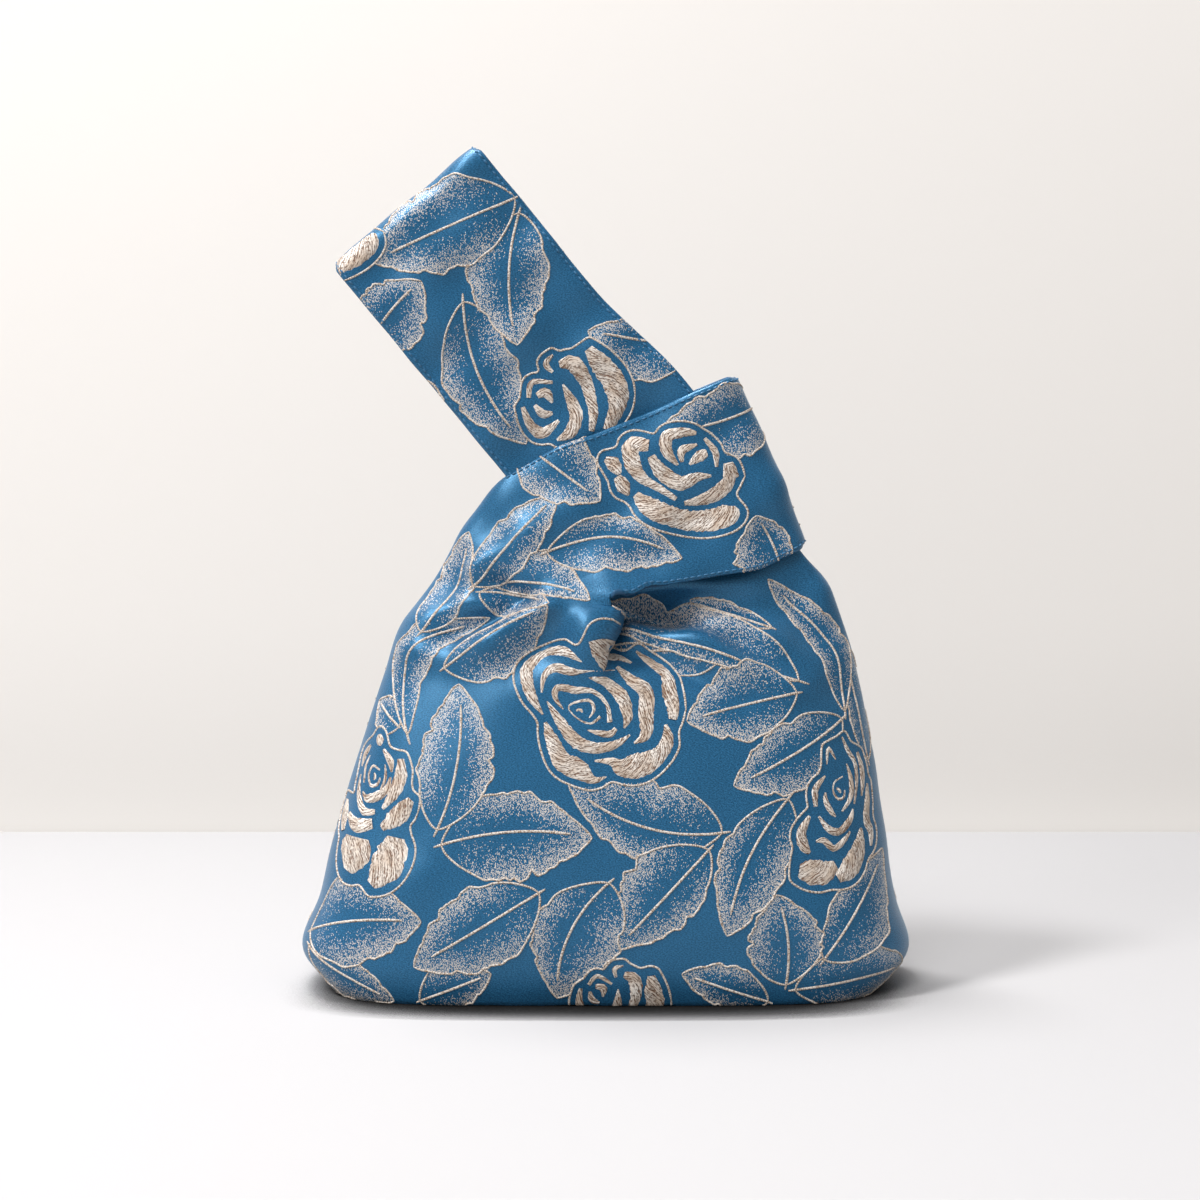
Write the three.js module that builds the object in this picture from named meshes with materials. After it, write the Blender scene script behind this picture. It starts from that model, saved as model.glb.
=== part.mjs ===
// Knot bag: a soft cloth wrist bag sewn from two outer panels and two lining panels.
// Each panel is one cut of cloth: half of the base, the body, and two straps. On the left a short strap leans
// right and turns round to the back, and on the right a long strap leans left and turns over at its top.
// The pair of short straps makes a loop, and the pair of long straps passes through it as the hand loop.
// Millimetres, +Z up, +X to the right, -Y to the front. The origin is on the floor under the middle of the bag.
import * as THREE from "three";

// Body
const BODY_WIDTH = 240; // across the lower corners, the widest place
const BODY_DEPTH = 98; // front to back, at its fullest
const CORNER_HEIGHT = 22; // the lower corners are widest here
const SCOOP_HEIGHT = 153; // the lowest point of the neckline, between the straps
const CENTRE_STRIP = 8; // between the two halves of a panel, low on the body
const PLEAT_LAP = 4; // at the neckline the left half laps over the right one by this much
const NECK_DEPTH = 48; // front to back at the neckline, where the short straps start
const SUNK_NECK_DEPTH = 34; // the same where the long straps start, drawn in under the short ones
const BASE_WIDTH = 212;
const BASE_DEPTH = 90;
const LEFT_SHOULDER = 73.5; // from the middle to the left side, at the neckline's height
const RIGHT_SHOULDER = 90.5; // the same on the right

// Straps
const STRAP_WIDTH = 73.5;
const SHORT_LEAN = 23; // degrees from +X to the way that the short strap runs
const SHORT_END_RIGHT = 65; // the middle of its turned end, right of the bag's middle
const SHORT_END_HEIGHT = 208.5; // the same, above the floor
const SHORT_TOP_RUN = 92; // the straight part of its top edge, back from the turned end
const LONG_LEAN = 129.5; // degrees from +X to the way that the long strap runs
const LONG_END_RIGHT = -78.5; // the middle of its turned end, left of the bag's middle
const LONG_END_HEIGHT = 308; // the same, above the floor
const LONG_RIGHT_RUN = 116; // the straight part of its right edge, back from the turned end
const LONG_LEFT_RUN = 101; // the same of its left edge
const LONG_END_DEPTH = 15; // front to back at the top of the hand loop

// Cloth
const OUTER_THICK = 1.2; // brocade with its stiffener
const LINING_THICK = 0.6;
const LAYER_GAP = 0.3; // between an outer panel and its lining
const SEAM_GAP = 0.3; // between the front and the back panels, along the seams
const LAP_GAP = 3; // between the short strap's lining and the long strap that it holds
const HAND_GAP = 8; // between the two long straps where the short ones hold them
const SEAM_ROLL = 2.5; // the cloth rolls in to a seam over this depth

// Mesh
const HALF_CELLS = 12; // across half a panel
const BASE_ROWS = 2;
const TURN_ROWS = 3; // round a strap's turned end
const ARC_SAMPLES = 48; // along a row before its points are spread evenly

// Depths worked out from the layers, each from the middle plane to the middle of the outer cloth
const LAYERS = LINING_THICK + LAYER_GAP + OUTER_THICK;
const LONG_REST = HAND_GAP / 2 + LAYERS - OUTER_THICK / 2;
const SHORT_REST = LONG_REST + OUTER_THICK / 2 + LAP_GAP + LAYERS - OUTER_THICK / 2;
const LONG_TOP = LONG_END_DEPTH / 2 - OUTER_THICK / 2;
const FLOOR_Z = OUTER_THICK / 2;
const SHORT_END = new THREE.Vector2(SHORT_END_RIGHT, SHORT_END_HEIGHT);
const LONG_END = new THREE.Vector2(LONG_END_RIGHT, LONG_END_HEIGHT);
const SEAM_Y = SEAM_GAP / 2;

// Soft folds that run out from the pleat, each in one half of a panel: a ridge or a hollow along a line in x
// and in height from the neckline, from its strong end to the end where it fades, with its half width and its
// height out of the cloth (a hollow is negative).
const FOLDS = {
  pocket: { half: "left", line: [[-8, 4], [-8, -10]], wide: 8, high: 6 },
  leftRidge: { half: "left", line: [[-23, -1], [-41, -11], [-60, -21]], wide: 6, high: 6 },
  leftValley: { half: "left", line: [[-41, 6], [-53, 9]], wide: 5.5, high: -5 },
  shoulderRidge: { half: "left", line: [[-50, 14], [-33, 27], [-18, 37]], wide: 7, high: 3.2 },
  contourValley: { half: "left", line: [[-59, 18], [-66, 3]], wide: 6, high: -4 },
  contourRidge: { half: "left", line: [[-69, -5], [-79, -24]], wide: 8, high: 3 },
  underRidge: { half: "left", line: [[-24, -13], [-39, -24], [-58, -27]], wide: 7, high: -3.4 },
  longRidge: { half: "right", line: [[14, -8], [33, -14], [72, -33]], wide: 8, high: 5.6 },
  secondRidge: { half: "right", line: [[38, -4], [54, -10], [72, -20]], wide: 6.5, high: 4 },
  creaseUnderRidge: { half: "right", line: [[12, -20], [37, -28], [52, -37]], wide: 6, high: -2.4 },
};
const FOLD_FADE = 0.8; // the share of its height that a fold loses on the way to its end
const BAND_EASE = 8; // in the right half, folds are gone this far above the neckline, under the short strap
const BAND_EASE_LENGTH = 12; // and fade over this length below that

const along = (degrees) => {
  const turn = THREE.MathUtils.degToRad(degrees);
  return new THREE.Vector2(Math.cos(turn), Math.sin(turn));
};

// A point of a strap: back from its turned end by a length, and to one edge (+1 is left of the way it runs).
function strapEdge(end, lean, edge, back) {
  const way = along(lean);
  const side = along(lean + 90).multiplyScalar((edge * STRAP_WIDTH) / 2);
  return end.clone().addScaledVector(way, -back).add(side).toArray();
}

// Stations are the rows that shape half a panel, from the floor up. Each has its outer and inner ends in x and
// z, the depth of its rounded section and that section's squareness, how far it has flattened into a strap,
// the flat strap's depth at its outer and inner edges, its crown, and the rows from it to the next station.
function station({ outer, inner, depth, square = 2, flat = 0, rest = [0, 0], crown = 0, rows = 1 }) {
  return { outer, inner, depth, square, flat, rest, crown, rows };
}

// The body's side from the widest corner to the shoulder. Each line is a height as a share of the way from
// corner to neckline, then for the left and the right how far the side has come in from the corner to the
// shoulder and how far the depth has gone from its fullest to the neck, then the section's squareness, how far
// the pleat under the neckline has closed, and the rows from there to the next height.
const SIDE = [
  { up: 0, inward: [0, 0], thin: [0, 0], square: 3.2, pleat: 0, rows: 1 },
  { up: 0.13, inward: [0.14, 0.17], thin: [-0.03, -0.03], square: 3, pleat: 0, rows: 1 },
  { up: 0.32, inward: [0.28, 0.31], thin: [0.08, 0.06], square: 2.7, pleat: 0, rows: 1 },
  { up: 0.55, inward: [0.48, 0.48], thin: [0.3, 0.23], square: 2.45, pleat: 0, rows: 3 },
  { up: 0.78, inward: [0.7, 0.69], thin: [0.6, 0.52], square: 2.2, pleat: 0.05, rows: 3 },
  { up: 0.91, inward: [0.82, 0.85], thin: [0.8, 0.82], square: 2.1, pleat: 0.6, rows: 2 },
  { up: 1, inward: [1, 1], thin: [1, 1], square: 2, pleat: 1, rows: 1 },
];

// Below the corner the side tucks under to the base: how far down, in and back it has gone at each row.
const TUCK = [
  { down: 1, inward: 1, thin: 1, square: 4.2 },
  { down: 0.6, inward: 0.45, thin: 0.4, square: 3.6 },
];

function bodyStations(side) {
  const left = side === "left";
  const own = left ? 0 : 1;
  const sign = left ? -1 : 1;
  const shoulder = left ? LEFT_SHOULDER : RIGHT_SHOULDER;
  const neck = (left ? NECK_DEPTH : SUNK_NECK_DEPTH) / 2;
  const corner = BODY_WIDTH / 2;
  const full = BODY_DEPTH / 2;
  const { lerp } = THREE.MathUtils;
  const level = (x, z, pleat, shape) => {
    const inner = lerp(CENTRE_STRIP / 2, -PLEAT_LAP / 2, pleat);
    return station({ outer: [sign * x, z], inner: [sign * inner, z], ...shape });
  };
  const tuck = TUCK.map(({ down, inward, thin, square }) =>
    level(lerp(corner, BASE_WIDTH / 2, inward), lerp(CORNER_HEIGHT, FLOOR_Z, down), 0, {
      depth: lerp(full, BASE_DEPTH / 2, thin),
      square,
    }),
  );
  const wall = SIDE.map(({ up, inward, thin, square, pleat, rows }) =>
    level(lerp(corner, shoulder, inward[own]), lerp(CORNER_HEIGHT, SCOOP_HEIGHT, up), pleat, {
      depth: lerp(full, neck, thin[own]),
      square,
      rows,
    }),
  );
  return [...tuck, ...wall];
}

// The short strap's edges leave the left shoulder and the neckline, and run straight to its turned end.
function shortStrapStations() {
  const neck = NECK_DEPTH / 2;
  const shoulder = (x, up) => [x - LEFT_SHOULDER, SCOOP_HEIGHT + up];
  const scoop = (x, up) => [x, SCOOP_HEIGHT + up];
  const top = (back) => strapEdge(SHORT_END, SHORT_LEAN, 1, back);
  const low = (back) => strapEdge(SHORT_END, SHORT_LEAN, -1, back);
  const rest = (outer, inner) => [SHORT_REST + outer, SHORT_REST + inner];
  const run = SHORT_TOP_RUN;
  return [
    station({ outer: shoulder(7, 10), inner: scoop(4, 2.5), depth: neck + 1.5, rest: rest(0, 0), rows: 2 }),
    station({
      outer: shoulder(21, 33.5),
      inner: scoop(13, 5.4),
      depth: neck,
      flat: 0.25,
      rest: rest(0, 13.4),
      rows: 2,
    }),
    station({
      outer: top(run),
      inner: scoop(22, 7),
      depth: neck - 2,
      flat: 0.8,
      rest: rest(1, 10.4),
      crown: 1,
    }),
    station({
      outer: top(run - 30),
      inner: scoop(42, 10.6),
      depth: neck - 5,
      flat: 0.95,
      rest: rest(0, 6.4),
      crown: 2,
    }),
    station({ outer: top(run - 60), inner: low(21), depth: neck - 6, flat: 1, rest: rest(0, 2.5), crown: 2 }),
    station({
      outer: top(SHORT_REST),
      inner: low(SHORT_REST),
      depth: neck - 6,
      flat: 1,
      rest: rest(0, 0),
      crown: 1,
    }),
  ];
}

// The long strap's edges leave the right shoulder and the neckline behind the short strap, and run straight up.
function longStrapStations() {
  const shoulder = (x, up) => [RIGHT_SHOULDER - x, SCOOP_HEIGHT + up];
  const scoop = (x, up) => [-x, SCOOP_HEIGHT + up];
  const right = (back) => strapEdge(LONG_END, LONG_LEAN, -1, back);
  const left = (back) => strapEdge(LONG_END, LONG_LEAN, 1, back);
  const held = { depth: LONG_REST, flat: 1, rest: [LONG_REST, LONG_REST] };
  const loop = { depth: LONG_TOP, flat: 1, rest: [LONG_TOP, LONG_TOP] };
  return [
    station({ ...held, outer: shoulder(4, 8), inner: scoop(3.5, 6), depth: 15, flat: 0, rows: 2 }),
    station({ ...held, outer: shoulder(14, 20.5), inner: scoop(8, 15), depth: 12, flat: 0.3 }),
    station({ ...held, outer: shoulder(26, 41), inner: scoop(17, 26), depth: 9, flat: 0.65 }),
    station({ ...held, outer: shoulder(43, 65), inner: scoop(28, 37), depth: 7, flat: 0.9 }),
    station({ ...held, outer: right(LONG_RIGHT_RUN), inner: left(LONG_LEFT_RUN) }),
    station({ ...held, outer: right(LONG_RIGHT_RUN - 40), inner: left(LONG_LEFT_RUN - 31), crown: 1.4 }),
    station({ ...loop, outer: right(LONG_RIGHT_RUN - 78), inner: left(LONG_LEFT_RUN - 65), crown: 1.2 }),
    station({ ...loop, outer: right(LONG_TOP), inner: left(LONG_TOP), crown: 0.6 }),
  ];
}

// Uniform Catmull-Rom through the values at four stations.
function through(p0, p1, p2, p3, t) {
  const square = 2 * p0 - 5 * p1 + 4 * p2 - p3;
  const cube = 3 * p1 - p0 - 3 * p2 + p3;
  return 0.5 * (2 * p1 + t * (p2 - p0 + t * (square + t * cube)));
}

function between(stations, i, t) {
  const at = (k) => stations[THREE.MathUtils.clamp(k, 0, stations.length - 1)];
  const four = [at(i - 1), at(i), at(i + 1), at(i + 2)];
  const blend = (read) => through(...four.map(read), t);
  return {
    outer: [blend((s) => s.outer[0]), blend((s) => s.outer[1])],
    inner: [blend((s) => s.inner[0]), blend((s) => s.inner[1])],
    depth: blend((s) => s.depth),
    square: blend((s) => s.square),
    flat: THREE.MathUtils.clamp(blend((s) => s.flat), 0, 1),
    rest: [blend((s) => s.rest[0]), blend((s) => s.rest[1])],
    crown: blend((s) => s.crown),
  };
}

// How far a place is from a line through a few points, and how far along it, from 0 to 1, its nearest point is.
function alongLine(place, line) {
  let best = { away: Infinity, share: 0 };
  for (let i = 1; i < line.length; i += 1) {
    const start = new THREE.Vector2(...line[i - 1]);
    const step = new THREE.Vector2(...line[i]).sub(start);
    const from = place.clone().sub(start);
    const share = THREE.MathUtils.clamp(from.dot(step) / step.lengthSq(), 0, 1);
    const away = from.addScaledVector(step, -share).length();
    if (away < best.away) best = { away, share: (i - 1 + share) / (line.length - 1) };
  }
  return best;
}

function foldHeight(half, x, z) {
  const place = new THREE.Vector2(x, z - SCOOP_HEIGHT);
  const underBand = THREE.MathUtils.clamp((BAND_EASE - place.y) / BAND_EASE_LENGTH, 0, 1);
  let height = 0;
  for (const { line, wide, high } of Object.values(FOLDS).filter((fold) => fold.half === half)) {
    const { away, share } = alongLine(place, line);
    height += high * (1 - FOLD_FADE * share ** 2) * Math.exp(-((away / wide) ** 2));
  }
  return half === "right" ? height * underBand : height;
}

// One row of half a panel, outer end first, with its points the same distance apart along the cloth.
function halfRow(half, row) {
  const fine = [];
  for (let i = 0; i <= ARC_SAMPLES; i += 1) {
    const turn = ((i / ARC_SAMPLES) * Math.PI) / 2;
    const across = 1 - Math.cos(turn) ** (2 / row.square);
    const round = Math.sin(turn) ** (2 / row.square);
    const flat = THREE.MathUtils.lerp(row.rest[0], row.rest[1], across) + row.crown * 4 * across * (1 - across);
    const x = THREE.MathUtils.lerp(row.outer[0], row.inner[0], across);
    const z = THREE.MathUtils.lerp(row.outer[1], row.inner[1], across);
    const folds = foldHeight(half, x, z) * round * (1 - row.flat);
    const depth = (1 - row.flat) * row.depth * round + row.flat * flat + folds;
    fine.push(new THREE.Vector3(x, -Math.max(depth, SEAM_Y), z));
  }
  return evenly(fine, HALF_CELLS);
}

function evenly(points, cells) {
  const reach = [0];
  for (let i = 1; i < points.length; i += 1) {
    reach.push(reach[i - 1] + points[i].distanceTo(points[i - 1]));
  }
  const made = [];
  let i = 1;
  for (let k = 0; k <= cells; k += 1) {
    const goal = (reach.at(-1) * k) / cells;
    while (i < points.length - 1 && reach[i] < goal) i += 1;
    const share = (goal - reach[i - 1]) / (reach[i] - reach[i - 1]);
    made.push(points[i - 1].clone().lerp(points[i], share));
  }
  return made;
}

function rowsThrough(half, stations, first, last) {
  const rows = [];
  for (let i = first; i < last; i += 1) {
    const count = stations[i].rows;
    for (let k = 0; k < count; k += 1) rows.push(halfRow(half, between(stations, i, k / count)));
  }
  rows.push(halfRow(half, between(stations, last - 1, 1)));
  return rows;
}

// The turned end of a strap: a quarter turn from the strap's own depth to the seam in the middle plane.
function turnedEnd(lastRow, lean) {
  const way = along(lean);
  const rows = [];
  for (let k = 1; k <= TURN_ROWS; k += 1) {
    const turn = ((k / TURN_ROWS) * Math.PI) / 2;
    rows.push(
      lastRow.map((p) => {
        const out = -p.y * Math.sin(turn);
        const y = Math.min(p.y * Math.cos(turn), -SEAM_Y);
        return new THREE.Vector3(p.x + way.x * out, y, p.z + way.y * out);
      }),
    );
  }
  return rows;
}

// Half of the base: rows from the seam under the middle of the bag out to the first row of the body.
function baseRows(firstRow) {
  const [start, end] = [firstRow[0], firstRow.at(-1)];
  const seam = firstRow.map((p, i) => {
    const x = THREE.MathUtils.lerp(start.x, end.x, i / HALF_CELLS);
    return new THREE.Vector3(x, -SEAM_Y, FLOOR_Z);
  });
  const rows = [];
  for (let k = 0; k < BASE_ROWS; k += 1) {
    rows.push(seam.map((p, i) => p.clone().lerp(firstRow[i], k / BASE_ROWS)));
  }
  return rows;
}

// The middle surface of the front panel's cloth, as points and four-sided cells that face out of the bag.
function frontSheet() {
  const left = [...bodyStations("left"), ...shortStrapStations()];
  const right = [...bodyStations("right"), ...longStrapStations()];
  const neck = bodyStations("left").length - 1;
  const leftBody = rowsThrough("left", left, 0, neck);
  const rightBody = rowsThrough("right", right, 0, neck);
  const bodyRows = [...baseRows(leftBody[0]), ...leftBody].map((row, k) => [
    ...row,
    ...[...baseRows(rightBody[0]), ...rightBody][k].slice().reverse(),
  ]);
  const leftRows = rowsThrough("left", left, neck, left.length - 1).slice(1);
  const rightRows = rowsThrough("right", right, neck, right.length - 1)
    .slice(1)
    .map((row) => row.slice().reverse());
  leftRows.push(...turnedEnd(leftRows.at(-1), SHORT_LEAN));
  rightRows.push(...turnedEnd(rightRows.at(-1), LONG_LEAN));

  const points = [];
  const cells = [];
  const places = new Map();
  const index = (p) => {
    const key = p.toArray().map((v) => v.toFixed(4)).join(" ");
    if (!places.has(key)) places.set(key, points.push(p) - 1);
    return places.get(key);
  };
  const grid = (rows) => {
    for (let r = 1; r < rows.length; r += 1) {
      for (let c = 1; c < rows[r].length; c += 1) {
        cells.push([rows[r - 1][c - 1], rows[r - 1][c], rows[r][c], rows[r][c - 1]].map(index));
      }
    }
  };
  const neckRow = bodyRows.at(-1);
  grid(bodyRows);
  grid([neckRow.slice(0, HALF_CELLS + 1), ...leftRows]);
  grid([neckRow.slice(HALF_CELLS + 1), ...rightRows]);
  return { points, cells };
}

const trianglesOf = ([a, b, c, d]) =>
  [
    [a, b, c],
    [a, c, d],
  ].filter(([p, q, r]) => p !== q && q !== r && r !== p);

// Normals of a sheet. Towards the seams they turn into the middle plane, so that both panels meet face to face.
function sheetNormals({ points, cells }) {
  const normals = points.map(() => new THREE.Vector3());
  for (const [a, b, c] of cells.flatMap(trianglesOf)) {
    const u = points[b].clone().sub(points[a]);
    const normal = u.cross(points[c].clone().sub(points[a]));
    for (const i of [a, b, c]) normals[i].add(normal);
  }
  normals.forEach((n, i) => {
    n.y *= THREE.MathUtils.clamp((-points[i].y - SEAM_Y) / SEAM_ROLL, 0, 1);
    n.normalize();
  });
  return normals;
}

// A closed piece of cloth that follows a sheet between two distances out from it. The back is its mirror image.
function clothGeometry(sheet, inside, outside, back) {
  const { points, cells } = sheet;
  const normals = sheetNormals(sheet);
  const layer = (away) => points.map((p, i) => p.clone().addScaledVector(normals[i], away));
  const all = [...layer(outside), ...layer(inside)];
  const count = points.length;
  const triangles = cells.flatMap(trianglesOf);
  const edges = new Map();
  for (const [a, b, c] of triangles) {
    for (const [p, q] of [[a, b], [b, c], [c, a]]) {
      if (!edges.delete(`${q} ${p}`)) edges.set(`${p} ${q}`, [p, q]);
    }
  }
  const faces = [...triangles, ...triangles.map(([a, b, c]) => [c + count, b + count, a + count])];
  for (const [p, q] of edges.values()) {
    faces.push([q, p, p + count], [q, p + count, q + count]);
  }
  const mirror = back ? -1 : 1;
  const geometry = new THREE.BufferGeometry();
  const places = all.flatMap((p) => [p.x, p.y * mirror, p.z]);
  geometry.setAttribute("position", new THREE.Float32BufferAttribute(places, 3));
  geometry.setIndex(faces.flatMap((f) => (back ? [f[2], f[1], f[0]] : f)));
  geometry.computeVertexNormals();
  return geometry;
}

const brocade = new THREE.MeshStandardMaterial({ color: 0x2f70a8, roughness: 0.55, metalness: 0 });
const sateen = new THREE.MeshStandardMaterial({ color: 0x24567f, roughness: 0.6, metalness: 0 });

const bag = new THREE.Group();
const sheet = frontSheet();
const liningOut = -OUTER_THICK / 2 - LAYER_GAP;
for (const [place, back] of [["front", false], ["back", true]]) {
  const outer = new THREE.Mesh(clothGeometry(sheet, -OUTER_THICK / 2, OUTER_THICK / 2, back), brocade);
  outer.name = `outer_${place}_panel`;
  const lining = new THREE.Mesh(clothGeometry(sheet, liningOut - LINING_THICK, liningOut, back), sateen);
  lining.name = `${place}_lining`;
  bag.add(outer, lining);
}

export default bag;
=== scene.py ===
"""Knot bag in blue brocade with pale roses and leaves: the looks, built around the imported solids."""

import math

import bpy
import numpy as np
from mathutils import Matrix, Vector
from mathutils.bvhtree import BVHTree


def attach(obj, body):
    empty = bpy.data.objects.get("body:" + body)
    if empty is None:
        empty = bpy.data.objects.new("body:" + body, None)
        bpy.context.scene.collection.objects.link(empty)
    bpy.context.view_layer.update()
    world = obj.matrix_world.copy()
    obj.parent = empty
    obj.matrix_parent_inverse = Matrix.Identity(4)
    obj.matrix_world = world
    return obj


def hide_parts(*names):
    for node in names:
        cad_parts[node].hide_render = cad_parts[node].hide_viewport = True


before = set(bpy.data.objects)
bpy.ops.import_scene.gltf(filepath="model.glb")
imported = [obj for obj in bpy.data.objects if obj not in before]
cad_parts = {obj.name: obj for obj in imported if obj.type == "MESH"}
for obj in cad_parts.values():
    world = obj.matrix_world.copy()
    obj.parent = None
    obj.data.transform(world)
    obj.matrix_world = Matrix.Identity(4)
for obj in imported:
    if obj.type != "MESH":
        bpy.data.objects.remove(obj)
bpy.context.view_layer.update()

MM = 0.001  # the shapes below are worked out in millimetres and made in metres

# Body, as in the part's solids, but for a lower corner and a wider pleat
BODY_WIDTH = 240
BODY_DEPTH = 98
CORNER_HEIGHT = 18
SCOOP_HEIGHT = 153
CENTRE_STRIP = 8
PLEAT_LAP = 5
NECK_DEPTH = 48
SUNK_NECK_DEPTH = 34
BASE_WIDTH = 212
BASE_DEPTH = 90
LEFT_SHOULDER = 73.5
RIGHT_SHOULDER = 90.5

# Straps, with leans in degrees
STRAP_WIDTH = 73.5
SHORT_LEAN = 23
SHORT_END = np.array([65, 208.5])
SHORT_TOP_RUN = 92
LONG_LEAN = 129.5
LONG_END = np.array([-78.5, 308])
LONG_RIGHT_RUN = 116
LONG_LEFT_RUN = 101
LONG_END_DEPTH = 15
LONG_FLARE = 4.5  # how much wider it is where it goes under the short one
END_ROUND = 3.5  # radius of the corners at the straps' ends

# Cloth
OUTER_THICK = 1.2
LINING_THICK = 0.6
LAYER_GAP = 0.3
SEAM_GAP = 0.3
LAP_GAP = 3
HAND_GAP = 8
SEAM_ROLL = 2.5
LAYERS = LINING_THICK + LAYER_GAP + OUTER_THICK
LONG_REST = HAND_GAP / 2 + LAYERS - OUTER_THICK / 2
SHORT_REST = LONG_REST + OUTER_THICK / 2 + LAP_GAP + LAYERS - OUTER_THICK / 2
LONG_TOP = LONG_END_DEPTH / 2 - OUTER_THICK / 2
FLOOR_Z = OUTER_THICK / 2
SEAM_Y = SEAM_GAP / 2

# Fineness of the cloth's mesh
CELL = 1.7  # rows lie about this far apart
COLUMNS = 86  # points across each half of the panel
STRIP_COLUMNS = 8  # cells across the strip between the halves
BASE_STRETCH = 1.6  # rows under the bag lie this many cells apart
ROW_SAMPLES = 60  # places tried between two stations
ARC_SAMPLES = 240  # points worked out across a half before they are spread evenly
CURVE_SAMPLES = 24  # places worked out between two points of a given line
TINY = 1e-9  # keeps divisors from zero

# Camera, from the photograph: its frame is PHOTO_SIDE pixels square
PHOTO_SIDE = 1200
LENS = 85.0
SENSOR = 36.0
CAMERA_PITCH = 5.0
PIXELS_PER_MM = 2.52
FOCAL = LENS / SENSOR * PHOTO_SIDE  # in pixels
CAMERA_DISTANCE = FOCAL / PIXELS_PER_MM
CAMERA_AIM = np.array([-2.2, 0.0, 153.1])


def camera_ways():
    """The camera's right, up and forward directions."""
    pitch = math.radians(CAMERA_PITCH)
    up = np.array([0.0, math.sin(pitch), math.cos(pitch)])
    forward = np.array([0.0, math.cos(pitch), -math.sin(pitch)])
    return np.array([1.0, 0.0, 0.0]), up, forward


def camera_place():
    return CAMERA_AIM - CAMERA_DISTANCE * camera_ways()[2]


def pixel_ray(pixel):
    """The direction from the camera through a pixel of the photograph."""
    right, up, forward = camera_ways()
    across, down = (np.array(pixel) - PHOTO_SIDE / 2) / FOCAL
    ray = forward + across * right - down * up
    return ray / np.linalg.norm(ray)


def to_pixels(points):
    """Where points come to lie in the photograph."""
    right, up, forward = camera_ways()
    off = points - camera_place()
    across, down = off @ right / (off @ forward), -(off @ up) / (off @ forward)
    return PHOTO_SIDE / 2 + FOCAL * np.stack([across, down], 1)


def lengths_along(points):
    """How far along a line of points each of them is."""
    return np.concatenate([[0], np.cumsum(np.linalg.norm(np.diff(points, axis=0), axis=1))])


def at_lengths(goal, reach, values):
    """What values given at some lengths along a line are at others."""
    return np.stack([np.interp(goal, reach, column) for column in values.T], -1)


def unit(vectors):
    return vectors / np.maximum(np.linalg.norm(vectors, axis=1, keepdims=True), TINY)


def grid_cells(places):
    """The four-sided cells of a grid of points, given by their numbers."""
    cells = np.stack([places[:-1, :-1], places[:-1, 1:], places[1:, 1:], places[1:, :-1]], 2)
    return cells.reshape(-1, 4)


def edges_of(cells):
    return np.concatenate([cells[:, [k, (k + 1) % 4]] for k in range(4)])


def triangles_of(cells):
    return np.concatenate([cells[:, [0, 1, 2]], cells[:, [0, 2, 3]]])


# Stations, much as in the part's solids: outer x and z, inner x and z, depth, squareness, how flat, the flat
# strap's depth at its outer and inner edges, and its crown
def station(outer, inner, depth, square=2.0, flat=0.0, rest=(0.0, 0.0), crown=0.0):
    return np.array([*outer, *inner, depth, square, flat, *rest, crown], float)


# Height share, inward left and right, thin left and right, squareness, pleat
SIDE = [
    (0.00, 0.00, 0.00, 0.00, 0.00, 3.20, 0.00),
    (0.13, 0.14, 0.17, -0.03, -0.03, 3.00, 0.00),
    (0.32, 0.28, 0.31, 0.08, 0.06, 2.70, 0.00),
    (0.55, 0.48, 0.48, 0.30, 0.23, 2.45, 0.00),
    (0.78, 0.70, 0.69, 0.60, 0.52, 2.20, 0.05),
    (0.91, 0.82, 0.85, 0.80, 0.82, 2.10, 0.60),
    (1.00, 1.00, 1.00, 1.00, 1.00, 2.00, 1.00),
]
# Down, inward, thin, squareness
TUCK = [(1.0, 1.0, 1.0, 4.2), (0.6, 0.45, 0.4, 3.6)]


def lerp(a, b, share):
    return a + (b - a) * share


def body_stations(left):
    sign = -1 if left else 1
    shoulder = LEFT_SHOULDER if left else RIGHT_SHOULDER
    neck = (NECK_DEPTH if left else SUNK_NECK_DEPTH) / 2
    corner = BODY_WIDTH / 2
    full = BODY_DEPTH / 2
    made = []
    for down, inward, thin, square in TUCK:
        x = lerp(corner, BASE_WIDTH / 2, inward)
        z = lerp(CORNER_HEIGHT, FLOOR_Z, down)
        inner = (sign * CENTRE_STRIP / 2, z)
        made.append(station((sign * x, z), inner, lerp(full, BASE_DEPTH / 2, thin), square))
    for up, in_left, in_right, thin_left, thin_right, square, pleat in SIDE:
        x = lerp(corner, shoulder, in_left if left else in_right)
        z = lerp(CORNER_HEIGHT, SCOOP_HEIGHT, up)
        inner = (sign * lerp(CENTRE_STRIP / 2, -PLEAT_LAP / 2, pleat), z)
        thin = thin_left if left else thin_right
        made.append(station((sign * x, z), inner, lerp(full, neck, thin), square))
    return made


def direction(degrees):
    return np.array([math.cos(math.radians(degrees)), math.sin(math.radians(degrees))])


def strap_edge(end, lean, edge, back):
    return end - direction(lean) * back + direction(lean + 90) * edge * STRAP_WIDTH / 2


def from_neck(x, up):
    return (x, SCOOP_HEIGHT + up)


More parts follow.
